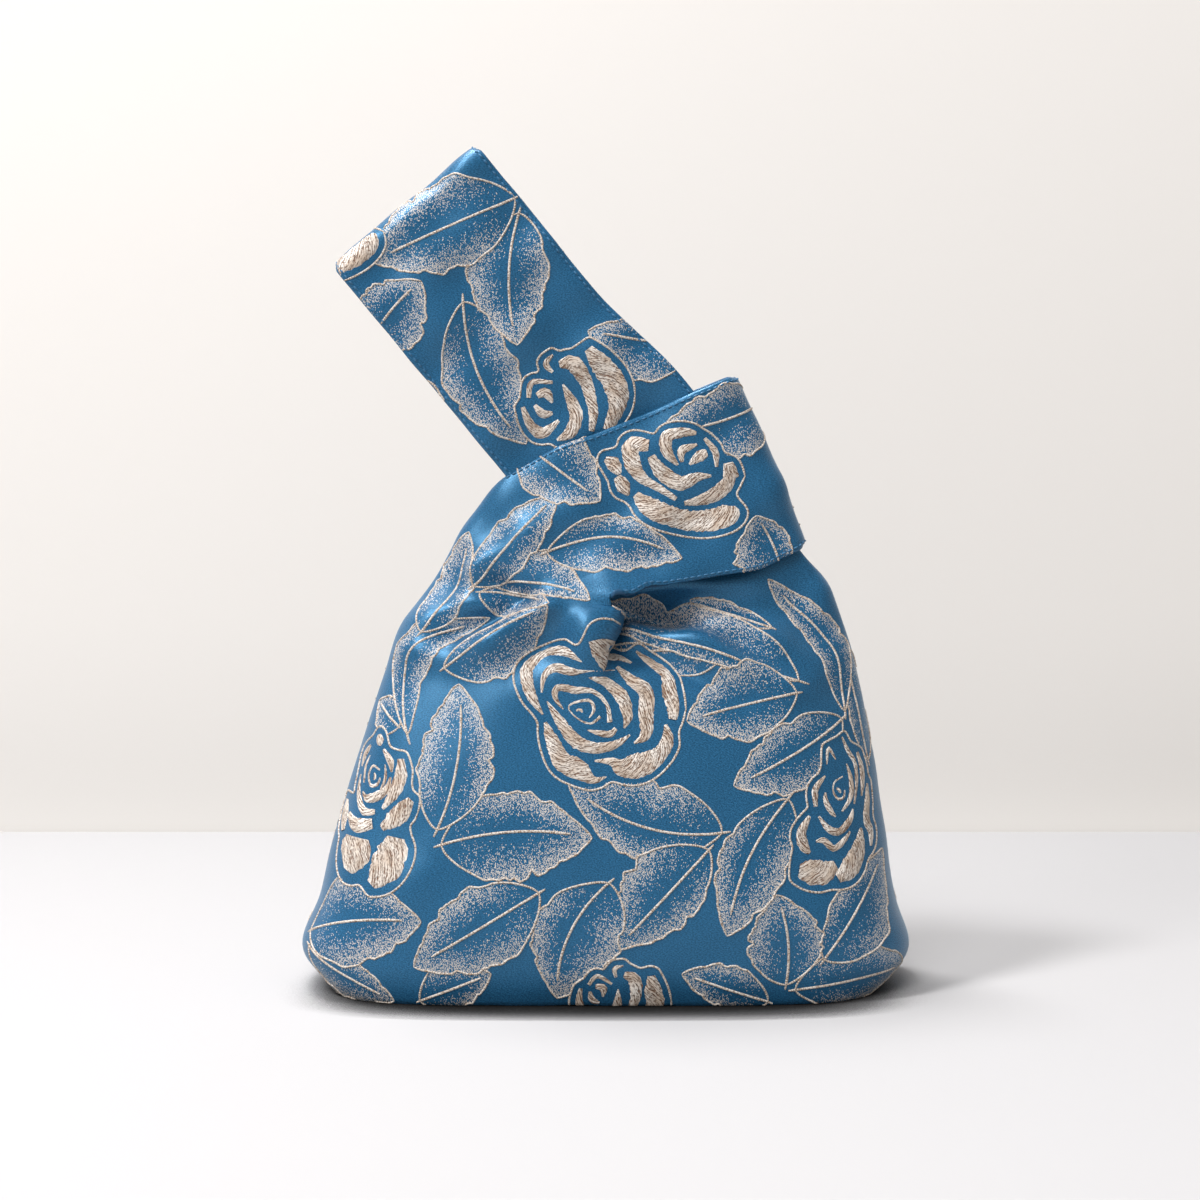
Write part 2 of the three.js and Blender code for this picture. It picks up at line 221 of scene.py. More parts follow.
def short_strap_stations():
    neck = NECK_DEPTH / 2
    left = -LEFT_SHOULDER
    run = SHORT_TOP_RUN

    def top(back):
        return strap_edge(SHORT_END, SHORT_LEAN, 1, back)

    def low(back):
        return strap_edge(SHORT_END, SHORT_LEAN, -1, back)

    def rest(outer, inner):
        return (SHORT_REST + outer, SHORT_REST + inner)

    return [
        station(from_neck(left + 7, 10), from_neck(4, 2.5), neck + 1.5, rest=rest(0, 0)),
        station(from_neck(left + 21, 33.5), from_neck(13, 5.4), neck, flat=0.25, rest=rest(0, 13.4)),
        station(top(run), from_neck(22, 7), neck - 2, flat=0.8, rest=rest(1, 10.4), crown=1),
        station(top(run - 30), from_neck(42, 10.6), neck - 5, flat=0.95, rest=rest(0, 6.4), crown=2),
        station(top(run - 60), low(21), neck - 6, flat=1, rest=rest(0, 2.5), crown=2),
        station(top(SHORT_REST), low(SHORT_REST), neck - 6, flat=1, rest=rest(0, 0), crown=1),
    ]


def long_strap_stations():
    shoulder = RIGHT_SHOULDER
    run, left_run = LONG_RIGHT_RUN, LONG_LEFT_RUN
    flare = direction(LONG_LEAN - 90) * LONG_FLARE
    held = (LONG_REST, LONG_REST)
    loop = (LONG_TOP, LONG_TOP)

    def right(back):
        return strap_edge(LONG_END, LONG_LEAN, -1, back)

    def left(back):
        return strap_edge(LONG_END, LONG_LEAN, 1, back)

    return [
        station(from_neck(shoulder - 4, 8), from_neck(-3.5, 6), 15, rest=held),
        station(from_neck(shoulder - 14, 20.5), from_neck(-8, 15), 12, flat=0.3, rest=held),
        station(from_neck(shoulder - 26, 41), from_neck(-17, 26), 9, flat=0.65, rest=held),
        station(from_neck(shoulder - 43, 65), from_neck(-28, 37), 7, flat=0.9, rest=held),
        station(right(run) + flare, left(left_run), LONG_REST, flat=1, rest=held),
        station(right(run - 40), left(left_run - 31), LONG_REST, flat=1, rest=held, crown=1.4),
        station(right(run - 78), left(left_run - 65), LONG_TOP, flat=1, rest=loop, crown=1.2),
        station(right(LONG_TOP), left(LONG_TOP), LONG_TOP, flat=1, rest=loop, crown=0.6),
    ]


def through(stations, places):
    """Uniform Catmull-Rom through the stations, at places counted in stations."""
    values = np.array(stations)
    last = len(values) - 1
    i = np.clip(np.floor(places).astype(int), 0, last - 1)
    t = (places - i)[:, None]
    p0, p1 = values[np.clip(i - 1, 0, last)], values[i]
    p2, p3 = values[i + 1], values[np.clip(i + 2, 0, last)]
    square = 2 * p0 - 5 * p1 + 4 * p2 - p3
    cube = 3 * p1 - p0 - 3 * p2 + p3
    return 0.5 * (2 * p1 + t * (p2 - p0 + t * (square + t * cube)))


def row_places(stations, first, last):
    """Places between two stations, so that rows lie about a cell apart along the middle of the cloth."""
    fine = np.linspace(first, last, ROW_SAMPLES * (last - first) + 1)
    rows = through(stations, fine)
    middle = np.stack([rows[:, 0] + rows[:, 2], rows[:, 1] + rows[:, 3], rows[:, 4]], 1) / [2, 2, 1]
    reach = lengths_along(middle)
    count = max(2, int(round(reach[-1] / CELL)))
    return np.interp(np.linspace(0, reach[-1], count + 1), reach, fine)


def half_rows(stations, places):
    """Rows of half a panel, outer end first, as points and lengths along the cloth from the outer end."""
    turn = np.linspace(0, math.pi / 2, ARC_SAMPLES)
    grid, along = [], []
    for row in through(stations, places):
        outer, inner, depth, square, flat, rest_out, rest_in, crown = row[:2], row[2:4], *row[4:]
        flat = min(max(flat, 0), 1)
        across = 1 - np.cos(turn).clip(0) ** (2 / square)
        rounded = np.sin(turn) ** (2 / square)
        strap = lerp(rest_out, rest_in, across) + crown * 4 * across * (1 - across)
        deep = (1 - flat) * depth * rounded + flat * strap
        x, z = lerp(outer[0], inner[0], across), lerp(outer[1], inner[1], across)
        points = np.stack([x, -np.maximum(deep, SEAM_Y), z], 1)
        reach = lengths_along(points)
        goal = np.linspace(0, reach[-1], COLUMNS)
        grid.append(at_lengths(goal, reach, points))
        along.append(goal)
    return np.array(grid), np.array(along)


def turned_end(last_row, lean, rows):
    """Rows round a strap's turned end, and how far each is past the strap's last row."""
    way = direction(lean)
    turn = np.linspace(0, math.pi / 2, rows + 1)[1:, None]
    deep = -last_row[None, :, 1]
    out = deep * np.sin(turn)
    y = -np.maximum(deep * np.cos(turn), SEAM_Y)
    grid = np.stack([last_row[None, :, 0] + way[0] * out, y, last_row[None, :, 2] + way[1] * out], 2)
    return grid, turn * deep.mean()


def base_rows(first_row, rows):
    """Rows under the bag, from the seam in the middle of the base to half a body's first row."""
    share = np.linspace(0, 1, first_row.shape[0])
    x = lerp(first_row[0, 0], first_row[-1, 0], share)
    seam = np.stack([x, np.full_like(x, -SEAM_Y), np.full_like(x, FLOOR_Z)], 1)
    steps = np.linspace(0, 1, rows + 1)[:-1, None, None]
    return seam[None] + (first_row - seam)[None] * steps


class Sheet:
    """The middle surface of the front panel's cloth: points, four-sided cells, and where each point lies with
    the cloth spread flat. The cells of the body, the short and the long strap are kept apart by name."""

    BASE_ROWS = max(4, int(BASE_DEPTH / 2 / CELL / BASE_STRETCH))

    def __init__(self):
        left = [*body_stations(True), *short_strap_stations()]
        right = [*body_stations(False), *long_strap_stations()]
        neck = len(body_stations(True)) - 1
        self.points, self.flat, self.cells = [], [], {}
        body_places = row_places(left, 0, neck)
        halves, straps = [], []
        for stations in (left, right):
            halves.extend(self.with_base(*half_rows(stations, body_places)))
            places = row_places(stations, neck, len(stations) - 1)
            straps.append((*half_rows(stations, places), through(stations, places)))
        row, flat_row = self.make_body(*halves)
        self.short = self.strap(row[:COLUMNS], *straps[0], flat_row[COLUMNS - 1], SHORT_LEAN)
        self.cells["short"] = grid_cells(self.short)
        self.long = self.strap(row[-COLUMNS:][::-1], *straps[1], flat_row[-COLUMNS], LONG_LEAN)
        self.cells["long"] = grid_cells(self.long[:, ::-1])
        self.points = np.concatenate(self.points)
        self.flat = np.concatenate(self.flat)

    def with_base(self, grid, reach):
        """Half of the body with its rows under the bag."""
        under = base_rows(grid[0], self.BASE_ROWS)
        under_reach = np.repeat(reach[:1], self.BASE_ROWS, 0)
        return np.concatenate([under, grid]), np.concatenate([under_reach, reach])

    def make_body(self, left, left_reach, right, right_reach):
        """Adds the body, and gives its row at the neckline with its places on the flat cloth."""
        strip, width = self.centre_strip(left[:, -2:], right[:, -2:])
        body = np.concatenate([left, strip, right[:, ::-1]], 1)
        # Spread flat: each row is as long as its cloth, and rows rise by the cloth's length up the middle
        up = lengths_along(left[:, -1])
        up += SCOOP_HEIGHT - up[-1]
        flat_left = -(width[:, None] / 2 + left_reach[:, -1:] - left_reach)
        flat_right = width[:, None] / 2 + right_reach[:, -1:] - right_reach
        share = np.linspace(0, 1, STRIP_COLUMNS + 1)[1:-1]
        flat_strip = width[:, None] * (share - 0.5)
        across = np.concatenate([flat_left, flat_strip, flat_right[:, ::-1]], 1)
        flat = np.stack([across, np.repeat(up[:, None], across.shape[1], 1)], 2)
        places = self.add(body, flat)
        # The base's rows all start and end in the corner
        for end in (0, -1):
            places[: self.BASE_ROWS, end] = places[self.BASE_ROWS, end]
        self.cells["body"] = grid_cells(places)
        return places[-1], flat[-1]

    def centre_strip(self, left, right):
        """Points across the strip between the two halves, which turns into a pleat under the neckline."""
        start, end = left[:, 1], right[:, 1]
        chord = np.linalg.norm(end - start, axis=1, keepdims=True)
        leave = unit(left[:, 1] - left[:, 0]) * chord
        reach = unit(right[:, 0] - right[:, 1]) * chord
        t = np.linspace(0, 1, STRIP_COLUMNS + 1)[None, :, None]
        curve = (
            (2 * t**3 - 3 * t**2 + 1) * start[:, None]
            + (t**3 - 2 * t**2 + t) * leave[:, None]
            + (3 * t**2 - 2 * t**3) * end[:, None]
            + (t**3 - t**2) * reach[:, None]
        )
        width = np.linalg.norm(np.diff(curve, axis=1), axis=2).sum(1)
        return curve[:, 1:-1], width

    def strap(self, neck_row, grid, reach, rows, flat_start, lean):
        """Adds a strap's points above the neckline, its turned end included, and gives all its rows."""
        inner = rows[:, 2:4]
        outward = unit(rows[:, :2] - inner)
        shift = flat_start - inner[0]
        back = (reach[:, -1:] - reach)[:, :, None]
        flat = (inner + shift)[:, None] + outward[:, None] * back
        depth = -grid[-1, :, 1].mean()
        turn_rows = max(6, int(depth * math.pi / 2 / CELL))
        end, advance = turned_end(grid[-1], lean, turn_rows)
        flat_end = flat[-1][None] + direction(lean)[None, None] * advance[:, :, None]
        places = self.add(np.concatenate([grid[1:], end]), np.concatenate([flat[1:], flat_end]))
        return np.concatenate([neck_row[None], places])

    def add(self, points, flat):
        start = sum(len(p) for p in self.points)
        shape = points.shape[:2]
        self.points.append(points.reshape(-1, 3))
        self.flat.append(flat.reshape(-1, 2))
        return start + np.arange(shape[0] * shape[1]).reshape(shape)

    def all_cells(self):
        return np.concatenate([self.cells["body"], self.cells["short"], self.cells["long"]])


def normals_of(points, cells):
    diagonal = np.cross(points[cells[:, 2]] - points[cells[:, 0]], points[cells[:, 3]] - points[cells[:, 1]])
    made = np.stack([sum_at(cells, np.repeat(diagonal[:, k], 4), len(points)) for k in range(3)], 1)
    made[:, 1] *= np.clip((-points[:, 1] - SEAM_Y) / SEAM_ROLL, 0, 1)
    return unit(made)


def sum_at(places, values, count):
    return np.bincount(places.ravel(), weights=values.ravel(), minlength=count)


def rim_of(cells):
    """Edges that belong to one cell only, each in its cell's direction."""
    edges = edges_of(cells)
    edges = edges[edges[:, 0] != edges[:, 1]]
    seen = {}
    for a, b in edges.tolist():
        if (b, a) in seen:
            del seen[(b, a)]
        else:
            seen[(a, b)] = True
    return np.array(list(seen))


def relax(points, cells, weight, rounds):
    """Eases creases: each point moves towards the middle of its neighbours, as far as its weight says."""
    edges = edges_of(cells)
    edges = np.concatenate([edges, edges[:, ::-1]])
    count = len(points)
    near = np.maximum(np.bincount(edges[:, 0], minlength=count), 1)
    for _ in range(rounds):
        middle = np.stack([sum_at(edges[:, 0], points[edges[:, 1], k], count) / near for k in range(3)], 1)
        points = points + (middle - points) * weight[:, None]
    return points


def along_line(points, line):
    """How far points lie from a line through a few points, and how far along it, from 0 to 1, that is."""
    best = np.full(len(points), 1e9)
    place = np.zeros(len(points))
    steps = len(line) - 1
    for k, (a, b) in enumerate(zip(line[:-1], line[1:])):
        share = np.clip(((points - a) @ (b - a)) / max((b - a) @ (b - a), TINY), 0, 1)
        away = np.linalg.norm(points - a - share[:, None] * (b - a), axis=1)
        place = np.where(away < best, (k + share) / steps, place)
        best = np.minimum(best, away)
    return best, place


# Folds of the cloth, each in the half of the panel that carries one strap: a line in x and in height from
# the neckline, from its strong end to the end where it fades, then its half width and its height. Hollows
# have a negative height.
FOLDS = {
    "pocket": ("short", [(-7, -9), (-14, 8)], 11, 7.0),
    "pocket_foot": ("short", [(-7, -9), (-6, -30)], 10, 3.5),
    "pocket_hollow": ("short", [(-25, 3), (-22, -10)], 7, -3.4),
    "left_ridge": ("short", [(-23, -1), (-41, -11), (-60, -21)], 6, 8.5),
    "crease_over_ridge": ("short", [(-32, 2), (-45, -6), (-64, -12), (-82, -14)], 5, -6.6),
    "spur": ("short", [(-44, 1), (-66, -3)], 5, 3.6),
    "left_valley": ("short", [(-41, 6), (-53, 9)], 5.5, -6.0),
    "shoulder_ridge": ("short", [(-50, 14), (-33, 27), (-18, 37)], 7, 3.8),
    "shoulder_groove": ("short", [(-41, 10), (-18, 24), (2, 30)], 7, -1.8),
    "contour_valley": ("short", [(-59, 18), (-66, 3)], 6, -5.0),
    "contour_ridge": ("short", [(-69, -5), (-79, -24)], 8, 3.0),
    "under_ridge": ("short", [(-24, -13), (-39, -24), (-58, -27)], 7, -3.4),
    "scoop_valley": ("long", [(4, 3), (0, -13)], 5, -2.4),
    "band_lip": ("short", [(5, 4), (30, 9), (62, 16)], 9, 4.0),
    "band_hollow": ("long", [(7, -1), (30, 2), (58, 6)], 11, -16.0),
    "long_ridge": ("long", [(11, -8), (33, -14), (72, -33)], 6, 7.4),
    "ridge_valley": ("long", [(13, -1), (44, -10), (75, -27)], 4.5, -4.4),
    "second_ridge": ("long", [(38, -4), (54, -10), (72, -20)], 6.5, 4.6),
    "crease_under_ridge": ("long", [(-1, -15), (17, -18), (37, -27), (52, -36)], 5.5, -4.8),
    "right_swell": ("long", [(64, 6), (67, -6)], 7, 2.6),
    "right_groove": ("long", [(74, 8), (78, -13)], 6, -1.8),
    "low_left_swell": ("short", [(-76, -110), (-67, -96)], 9, 1.4),
    "low_left_hollow": ("short", [(-67, -114), (-55, -100)], 9, -1.0),
    "low_right_hollow": ("long", [(91, -33), (84, -13)], 7, -1.0),
}
FOLD_FADE = 0.8  # share of its height that a fold loses on the way to its end
BAND_EASE = (8, 12)  # on the long strap, folds fade out this far above the neckline, over this length
SEAM_EASE = 14  # folds fade out this near to a seam
RIPPLE_EASE = 5  # and ripples this near
SWELL = 0.4  # slow waves all over the cloth, as the product of two
SWELL_LENGTH = 58
SWELL_WAYS = [(1, 0.4), (-0.5, 0.8)]
SWELL_PHASE = 1.3
RIPPLE = 0.55  # finer waves, each with a direction in degrees, a length and a phase
RIPPLES = [(20, 26, 0.3), (75, 31, 1.9), (130, 22, 4.1), (160, 37, 2.6)]
RIPPLE_FADE = (-45, 30)  # they fade out below the neckline, down to the first height, over the second length
RIPPLE_LEAST = 0.15  # share of them that is left lower down


def fold_heights(points, left_share):
    """How far folds and waves lift the cloth, given how far each point belongs to the panel's left half."""
    front = points[:, [0, 2]] - [0, SCOOP_HEIGHT]
    under_band = np.clip((BAND_EASE[0] - front[:, 1]) / BAND_EASE[1], 0, 1)
    height = np.zeros(len(points))
    for strap, line, wide, high in FOLDS.values():
        away, place = along_line(front, np.array(line, float))
        own = left_share if strap == "short" else (1 - left_share) * under_band
        height += own * high * (1 - FOLD_FADE * place**2) * np.exp(-((away / wide) ** 2))
    wave = 2 * math.pi / SWELL_LENGTH
    first, second = (a * points[:, 0] + b * points[:, 2] for a, b in SWELL_WAYS)
    height += SWELL * np.sin(wave * first) * np.sin(wave * second + SWELL_PHASE)
    height *= np.clip((-points[:, 1] - SEAM_Y) / SEAM_EASE, 0, 1)
    slack = RIPPLE * np.clip((front[:, 1] - RIPPLE_FADE[0]) / RIPPLE_FADE[1], RIPPLE_LEAST, 1)
    slack *= np.clip((-points[:, 1] - SEAM_Y) / RIPPLE_EASE, 0, 1)
    for degrees, length, phase in RIPPLES:
        along = front @ direction(degrees)
        height += slack * np.sin(2 * math.pi * along / length + phase)
    return height


def round_end(points, own, end, lean):
    """Draws the two corners of a strap's end in to a round."""
    front = points[own][:, [0, 2]]
    for side in (1, -1):
        corner = strap_edge(end, lean, side, 0)
        inward = -direction(lean), -direction(lean + 90) * side
        centre = corner + (inward[0] + inward[1]) * END_ROUND
        off = front - centre
        outside = np.linalg.norm(off, axis=1)
        at_corner = (off @ inward[0] < 0) & (off @ inward[1] < 0) & (outside > TINY)
        longest = np.maximum(-(off @ inward[0]), -(off @ inward[1]))
        # A square round the centre becomes a circle of the same half width
        drawn_in = centre + off * (longest / np.maximum(outside, TINY))[:, None]
        front = np.where(at_corner[:, None], drawn_in, front)
    points[np.flatnonzero(own)[:, None], [0, 2]] = front


class Cloth:
    """The front panel's cloth with its folds, and the ways between the photograph, the cloth spread flat and
    space."""

    CREASE = (-40, 160, 46, 15)  # middle and half sizes of the eased place at the left of the neckline
    ROUNDS = 30
    ON_CLOTH = 0.25  # places nearer than this to the flat cloth are on it

    def __init__(self):
        self.sheet = Sheet()
        self.cells = self.sheet.all_cells()
        self.flat = self.sheet.flat
        self.rim = rim_of(self.cells)
        points = self.sheet.points
        every = np.arange(len(points))
        self.on = {name: np.isin(every, cells) for name, cells in self.sheet.cells.items()}
        self.on["short"] &= ~self.on["body"]
        self.on["long"] &= ~self.on["body"]
        x, z, half_x, half_z = self.CREASE
        away = ((points[:, 0] - x) / half_x) ** 2 + ((points[:, 2] - z) / half_z) ** 2
        weight = np.where(self.on["long"], 0, np.exp(-(away**2)))
        weight[self.rim.ravel()] = 0
        points = relax(points, self.cells, weight, self.ROUNDS)
        normals = normals_of(points, self.cells)
        left_share = np.clip(0.5 - self.flat[:, 0] / CENTRE_STRIP, 0, 1)
        left_share = np.where(self.on["short"], 1, np.where(self.on["long"], 0, left_share))
        self.points = points + normals * fold_heights(points, left_share)[:, None]
        round_end(self.points, self.on["short"], SHORT_END, SHORT_LEAN)
        round_end(self.points, self.on["long"], LONG_END, LONG_LEAN)
        self.points[:, 1] = np.minimum(self.points[:, 1], -SEAM_Y)
        self.points[:, 2] = np.maximum(self.points[:, 2], FLOOR_Z)
        self.normals = normals_of(self.points, self.cells)
        self.face = self.points + self.normals * OUTER_THICK / 2
        self.pixels = to_pixels(self.face)
        self.prepare()

    def prepare(self):
        """Search trees: the outer face in space, and the cloth spread flat with each strap."""
        self.spread = np.column_stack([self.flat, np.zeros(len(self.flat))])
        self.trees = {}
        for strap in ("short", "long"):
            cells = np.concatenate([self.sheet.cells["body"], self.sheet.cells[strap]])
            triangles = triangles_of(cells)
            self.trees[strap] = (BVHTree.FromPolygons(self.spread.tolist(), triangles.tolist()), triangles)
        self.triangles = triangles_of(self.cells)
        self.space_tree = BVHTree.FromPolygons(self.face.tolist(), self.triangles.tolist())

    def spot(self, pixel):
        """The strap side and the place on the flat cloth that a pixel of the photograph shows."""
        place, _, index, _ = self.space_tree.ray_cast(Vector(camera_place()), Vector(pixel_ray(pixel)))
        if index is None:
            # Just past the cloth's edge: as far past it on the flat cloth as in the photograph
            away = np.array(pixel) - self.pixels
            corners = np.array([np.argmin((away**2).sum(1))])
            flat = self.flat[corners[0]] + away[corners[0]] * [1, -1] / PIXELS_PER_MM
        else:
            corners = self.triangles[index]
            weights = shares(np.array([place]), *(self.face[corners[k]][None] for k in range(3)))[0]
            flat = weights @ self.flat[corners]
        return self.strap_at(corners, flat), flat

    def strap_at(self, corners, flat):
        """The strap on whose side of the panel a place is."""
        on_body = self.on["body"][corners].all() and flat[0] > 0
        return "long" if on_body or self.on["long"][corners].any() else "short"

    def nearest(self, strap, flat):
        """The triangles of the flat cloth nearest to places, and which places are on the cloth."""
        tree, triangles = self.trees[strap]
        found = [tree.find_nearest((u, v, 0)) for u, v in flat]
        on_cloth = np.array([hit[3] for hit in found]) < self.ON_CLOTH
        return triangles[[hit[2] for hit in found]], on_cloth

    def lift(self, strap, flat):
        """Points and directions out of the cloth at places on the flat cloth, and which are on it."""
        corners, on_cloth = self.nearest(strap, flat)
        weights = shares(flat, *(self.flat[corners[:, k]] for k in range(3)))[:, :, None]
        points = (weights * self.face[corners]).sum(1)
        normals = (weights * self.normals[corners]).sum(1)
        return points, unit(normals), on_cloth


def shares(points, a, b, c):
    """Barycentric shares of points in triangles."""
    ab, ac, ap = b - a, c - a, points - a
    bb, bc, cc = (ab * ab).sum(1), (ab * ac).sum(1), (ac * ac).sum(1)
    pb, pc = (ap * ab).sum(1), (ap * ac).sum(1)
    scale = np.maximum(bb * cc - bc * bc, TINY)
    second = np.clip((cc * pb - bc * pc) / scale, 0, 1)
    third = np.clip((bb * pc - bc * pb) / scale, 0, 1)
    return np.stack([1 - second - third, second, third], 1)


def curve(points, step):
    """An even line through given points, which may carry a width too."""
    points = np.array(points, float)
    places = np.linspace(0, len(points) - 1, CURVE_SAMPLES * (len(points) - 1) + 1)
    fine = through(points, places)
    reach = lengths_along(fine[:, :2])
    count = max(3, int(round(reach[-1] / step)) + 1)
    return at_lengths(np.linspace(0, reach[-1], count), reach, fine)


def turned(vectors, degrees):
    c, s = direction(degrees)
    x, y = vectors[..., 0], vectors[..., 1]
    return np.stack([x * c - y * s, x * s + y * c], -1)


EDGE_CORD = 0.95  # width of the cord round a leaf or rose
RIB_CORD = 1.15


class Leaf:
    """A leaf woven into the cloth, from base to tip, with half widths to both sides of a bent midrib."""

    SAMPLES = 60
    FIT_SAMPLES = 12  # places along each line when it is tried for room
    WIDEST_EARLY = 0.88  # below 1, its widest place is nearer to the base
    FULLNESS = 0.8
    LOBES = (2.6, 4.2)  # fewest and most lobes on a side
    LOBE_DEPTH = 0.15
    LOBE_CROWDING = 1.4  # above 1, lobes crowd towards the tip
    LOBE_WANDER = (0.05, 7)
    LOBE_ROUNDNESS = 0.6
    LOBE_START = 2.2  # how fast lobes begin at the base
    RAGGED = [(0.03, 3.1), (0.02, 5.7)]  # finer waves of its margin, each a height and waves to a lobe
    RIB_SPAN = (-0.05, 0.86)  # where the midrib's cord begins and ends, as shares of the length
    DOTS_IN = 0.68  # dots thin out over this share of the half width
    DOTS_FULL = 1.2  # how thick they are at the margin, before the limit of 1
    DOTS_FALL = 1.5
    DOTS_FROM_BASE = (0.08, 0.3)  # where they begin, and over what share of the length
    DOTS_AT_TIP = (0.72, 0.25, 0.75)  # where the tip's dots begin, over what share, and how thick they are

    def __init__(self, strap, base, tip, left, right, bend, rng):
        self.strap, self.base, self.left, self.right, self.bend = strap, base, left, right, bend
        self.length = np.linalg.norm(tip - base)
        self.along = (tip - base) / self.length
        self.side = np.array([-self.along[1], self.along[0]])
        self.lobes = rng.uniform(*self.LOBES, 2)
        self.phase = rng.uniform(0, math.pi, (2, 3))

    def half_width(self, share, which):
        share = np.clip(share, 0, 1)
        full = np.sin(math.pi * share**self.WIDEST_EARLY) ** self.FULLNESS
        first, *others = self.phase[which]
        wander, often = self.LOBE_WANDER
        drift = wander * np.sin(often * share + others[1])
        beat = math.pi * self.lobes[which] * (share**self.LOBE_CROWDING + drift)
        notch = 1 - np.abs(np.sin(beat + first)) ** self.LOBE_ROUNDNESS
        waves = zip(self.RAGGED, others)
        ripple = sum(high * np.sin(often * beat + phase) for (high, often), phase in waves)
        lobed = 1 - (self.LOBE_DEPTH * notch + ripple) * np.minimum(1, self.LOBE_START * share)
        return (self.left, self.right)[which] * full * lobed

    def rib(self, share):
        bow = self.bend * 4 * share * (1 - share)
        return self.base + np.outer(share * self.length, self.along) + np.outer(bow, self.side)

    def margin(self, which, samples):
        share = np.linspace(0, 1, samples)
        sign = (1, -1)[which]
        return self.rib(share) + np.outer(sign * self.half_width(share, which), self.side)

    def ropes(self):
        """Its outline and midrib, each with a width."""
        edges = [(self.margin(which, self.SAMPLES), EDGE_CORD) for which in (0, 1)]
        return [*edges, (self.rib(np.linspace(*self.RIB_SPAN, self.SAMPLES)), RIB_CORD)]

    def inside(self, flat):
        """How far places are inside its outline, and how thick its dots lie there."""
        off = flat - self.base
        share = off @ self.along / self.length
        within = np.clip(share, 0, 1)
        across = off @ self.side - self.bend * 4 * within * (1 - within)
        half = np.where(across > 0, self.half_width(share, 0), self.half_width(share, 1))
        beyond = np.maximum(np.maximum(-share, share - 1), 0) * self.length
        edge = half - np.abs(across) - beyond
        reach = self.DOTS_IN * np.where(across > 0, self.left, self.right)
        by_margin = np.clip(self.DOTS_FULL - edge / reach, 0, 1) ** self.DOTS_FALL
        begin, over = self.DOTS_FROM_BASE
        from_base = np.clip((share - begin) / over, 0, 1)
        begin, over, thick = self.DOTS_AT_TIP
        by_tip = np.clip((share - begin) / over, 0, 1)
        return edge, np.clip(np.maximum(by_margin * from_base, by_tip * thick), 0, 1)

    def sample(self):
        """Places all over it."""
        rib = self.rib(np.linspace(0, 1, self.FIT_SAMPLES))
        left, right = (self.margin(which, self.FIT_SAMPLES) for which in (0, 1))
        return np.concatenate([rib, left, right, (rib + left) / 2, (rib + right) / 2])


# Roses as petals, each a stroke through places in millimetres from the heart of the rose, with its width
# there
OPEN_ROSE = [
    [(0.6, 18.8, 0.6), (-8.2, 23.7, 4), (-16, 23.7, 4.3), (-22, 16.4, 6), (-19.7, 6, 4.6), (-15, -1.8, 1)],
    [(5.2, 28, 9.5), (7, 22.5, 7.3), (8.5, 16, 1)],
    [(11.2, 22.5, 4), (16.7, 23.4, 4.3), (21.6, 20, 1.5)],
    [(-15.5, 7, 1), (-14.6, 13.4, 2.7), (-10.6, 17, 4), (-3.3, 15.2, 3.3), (2.7, 15.5, 1), (14.3, 16, 0.7)],
    [(15.2, 17.6, 2), (21, 11.5, 5), (26.4, 7.3, 6.5), (26.4, -1.8, 6.5), (26.4, -9.7, 5), (21.6, -13.4, 1)],
    [(25.2, 26, 1), (30, 20, 5), (35, 14.6, 5.5), (36, 7.3, 6.5), (37.4, 0, 5.5), (37, -4, 3.5)],
    [(34.3, -6, 1.5), (35, -12.2, 5.5), (31.3, -18.2, 7), (24, -22, 10.5), (17.3, -23, 8.5),
     (12.5, -20.7, 3.6), (5.8, -20.4, 1)],
    [(-14, -4.9, 1.5), (-11.2, -12.2, 6), (-7, -20.7, 8), (-1, -23.7, 9), (5.2, -28, 3.6),
     (10.6, -26.7, 0.7)],
    [(-13.4, 3.6, 0.7), (-8.2, -4.3, 4.3), (-2, -12.2, 5.8), (5.2, -15.2, 5), (13.7, -14, 3.6),
     (20, -10, 1)],
    [(3.3, 13, 0.7), (10, 11, 4.3), (16.7, 5, 6), (19, -2.4, 4.3), (17.6, -7.3, 1)],
    [(-6.7, 0.3, 0.7), (-10, 5, 2.4), (-9, 9, 3), (-2, 8, 3.3), (5.2, 7.3, 2.1), (10.6, 1.8, 1.8),
     (11.8, -5, 2.4)],
    [(14.3, -7.5, 2), (12, -9.7, 3), (8.2, -9.4, 2.7), (2.7, -8, 0.6)],
    [(8, -2.7, 1.6), (4, -5.5, 1.1), (-1.5, -3, 0.9), (-4.6, 1.2, 0.9), (-1, 3.3, 1.3), (4, 3.6, 1.5),
     (5.5, 0, 1.5), (3.3, -3.6, 0.6)],
    [(-1.5, -0.3, 1), (0, 0.3, 1.6), (1, -1, 0.8)],
]
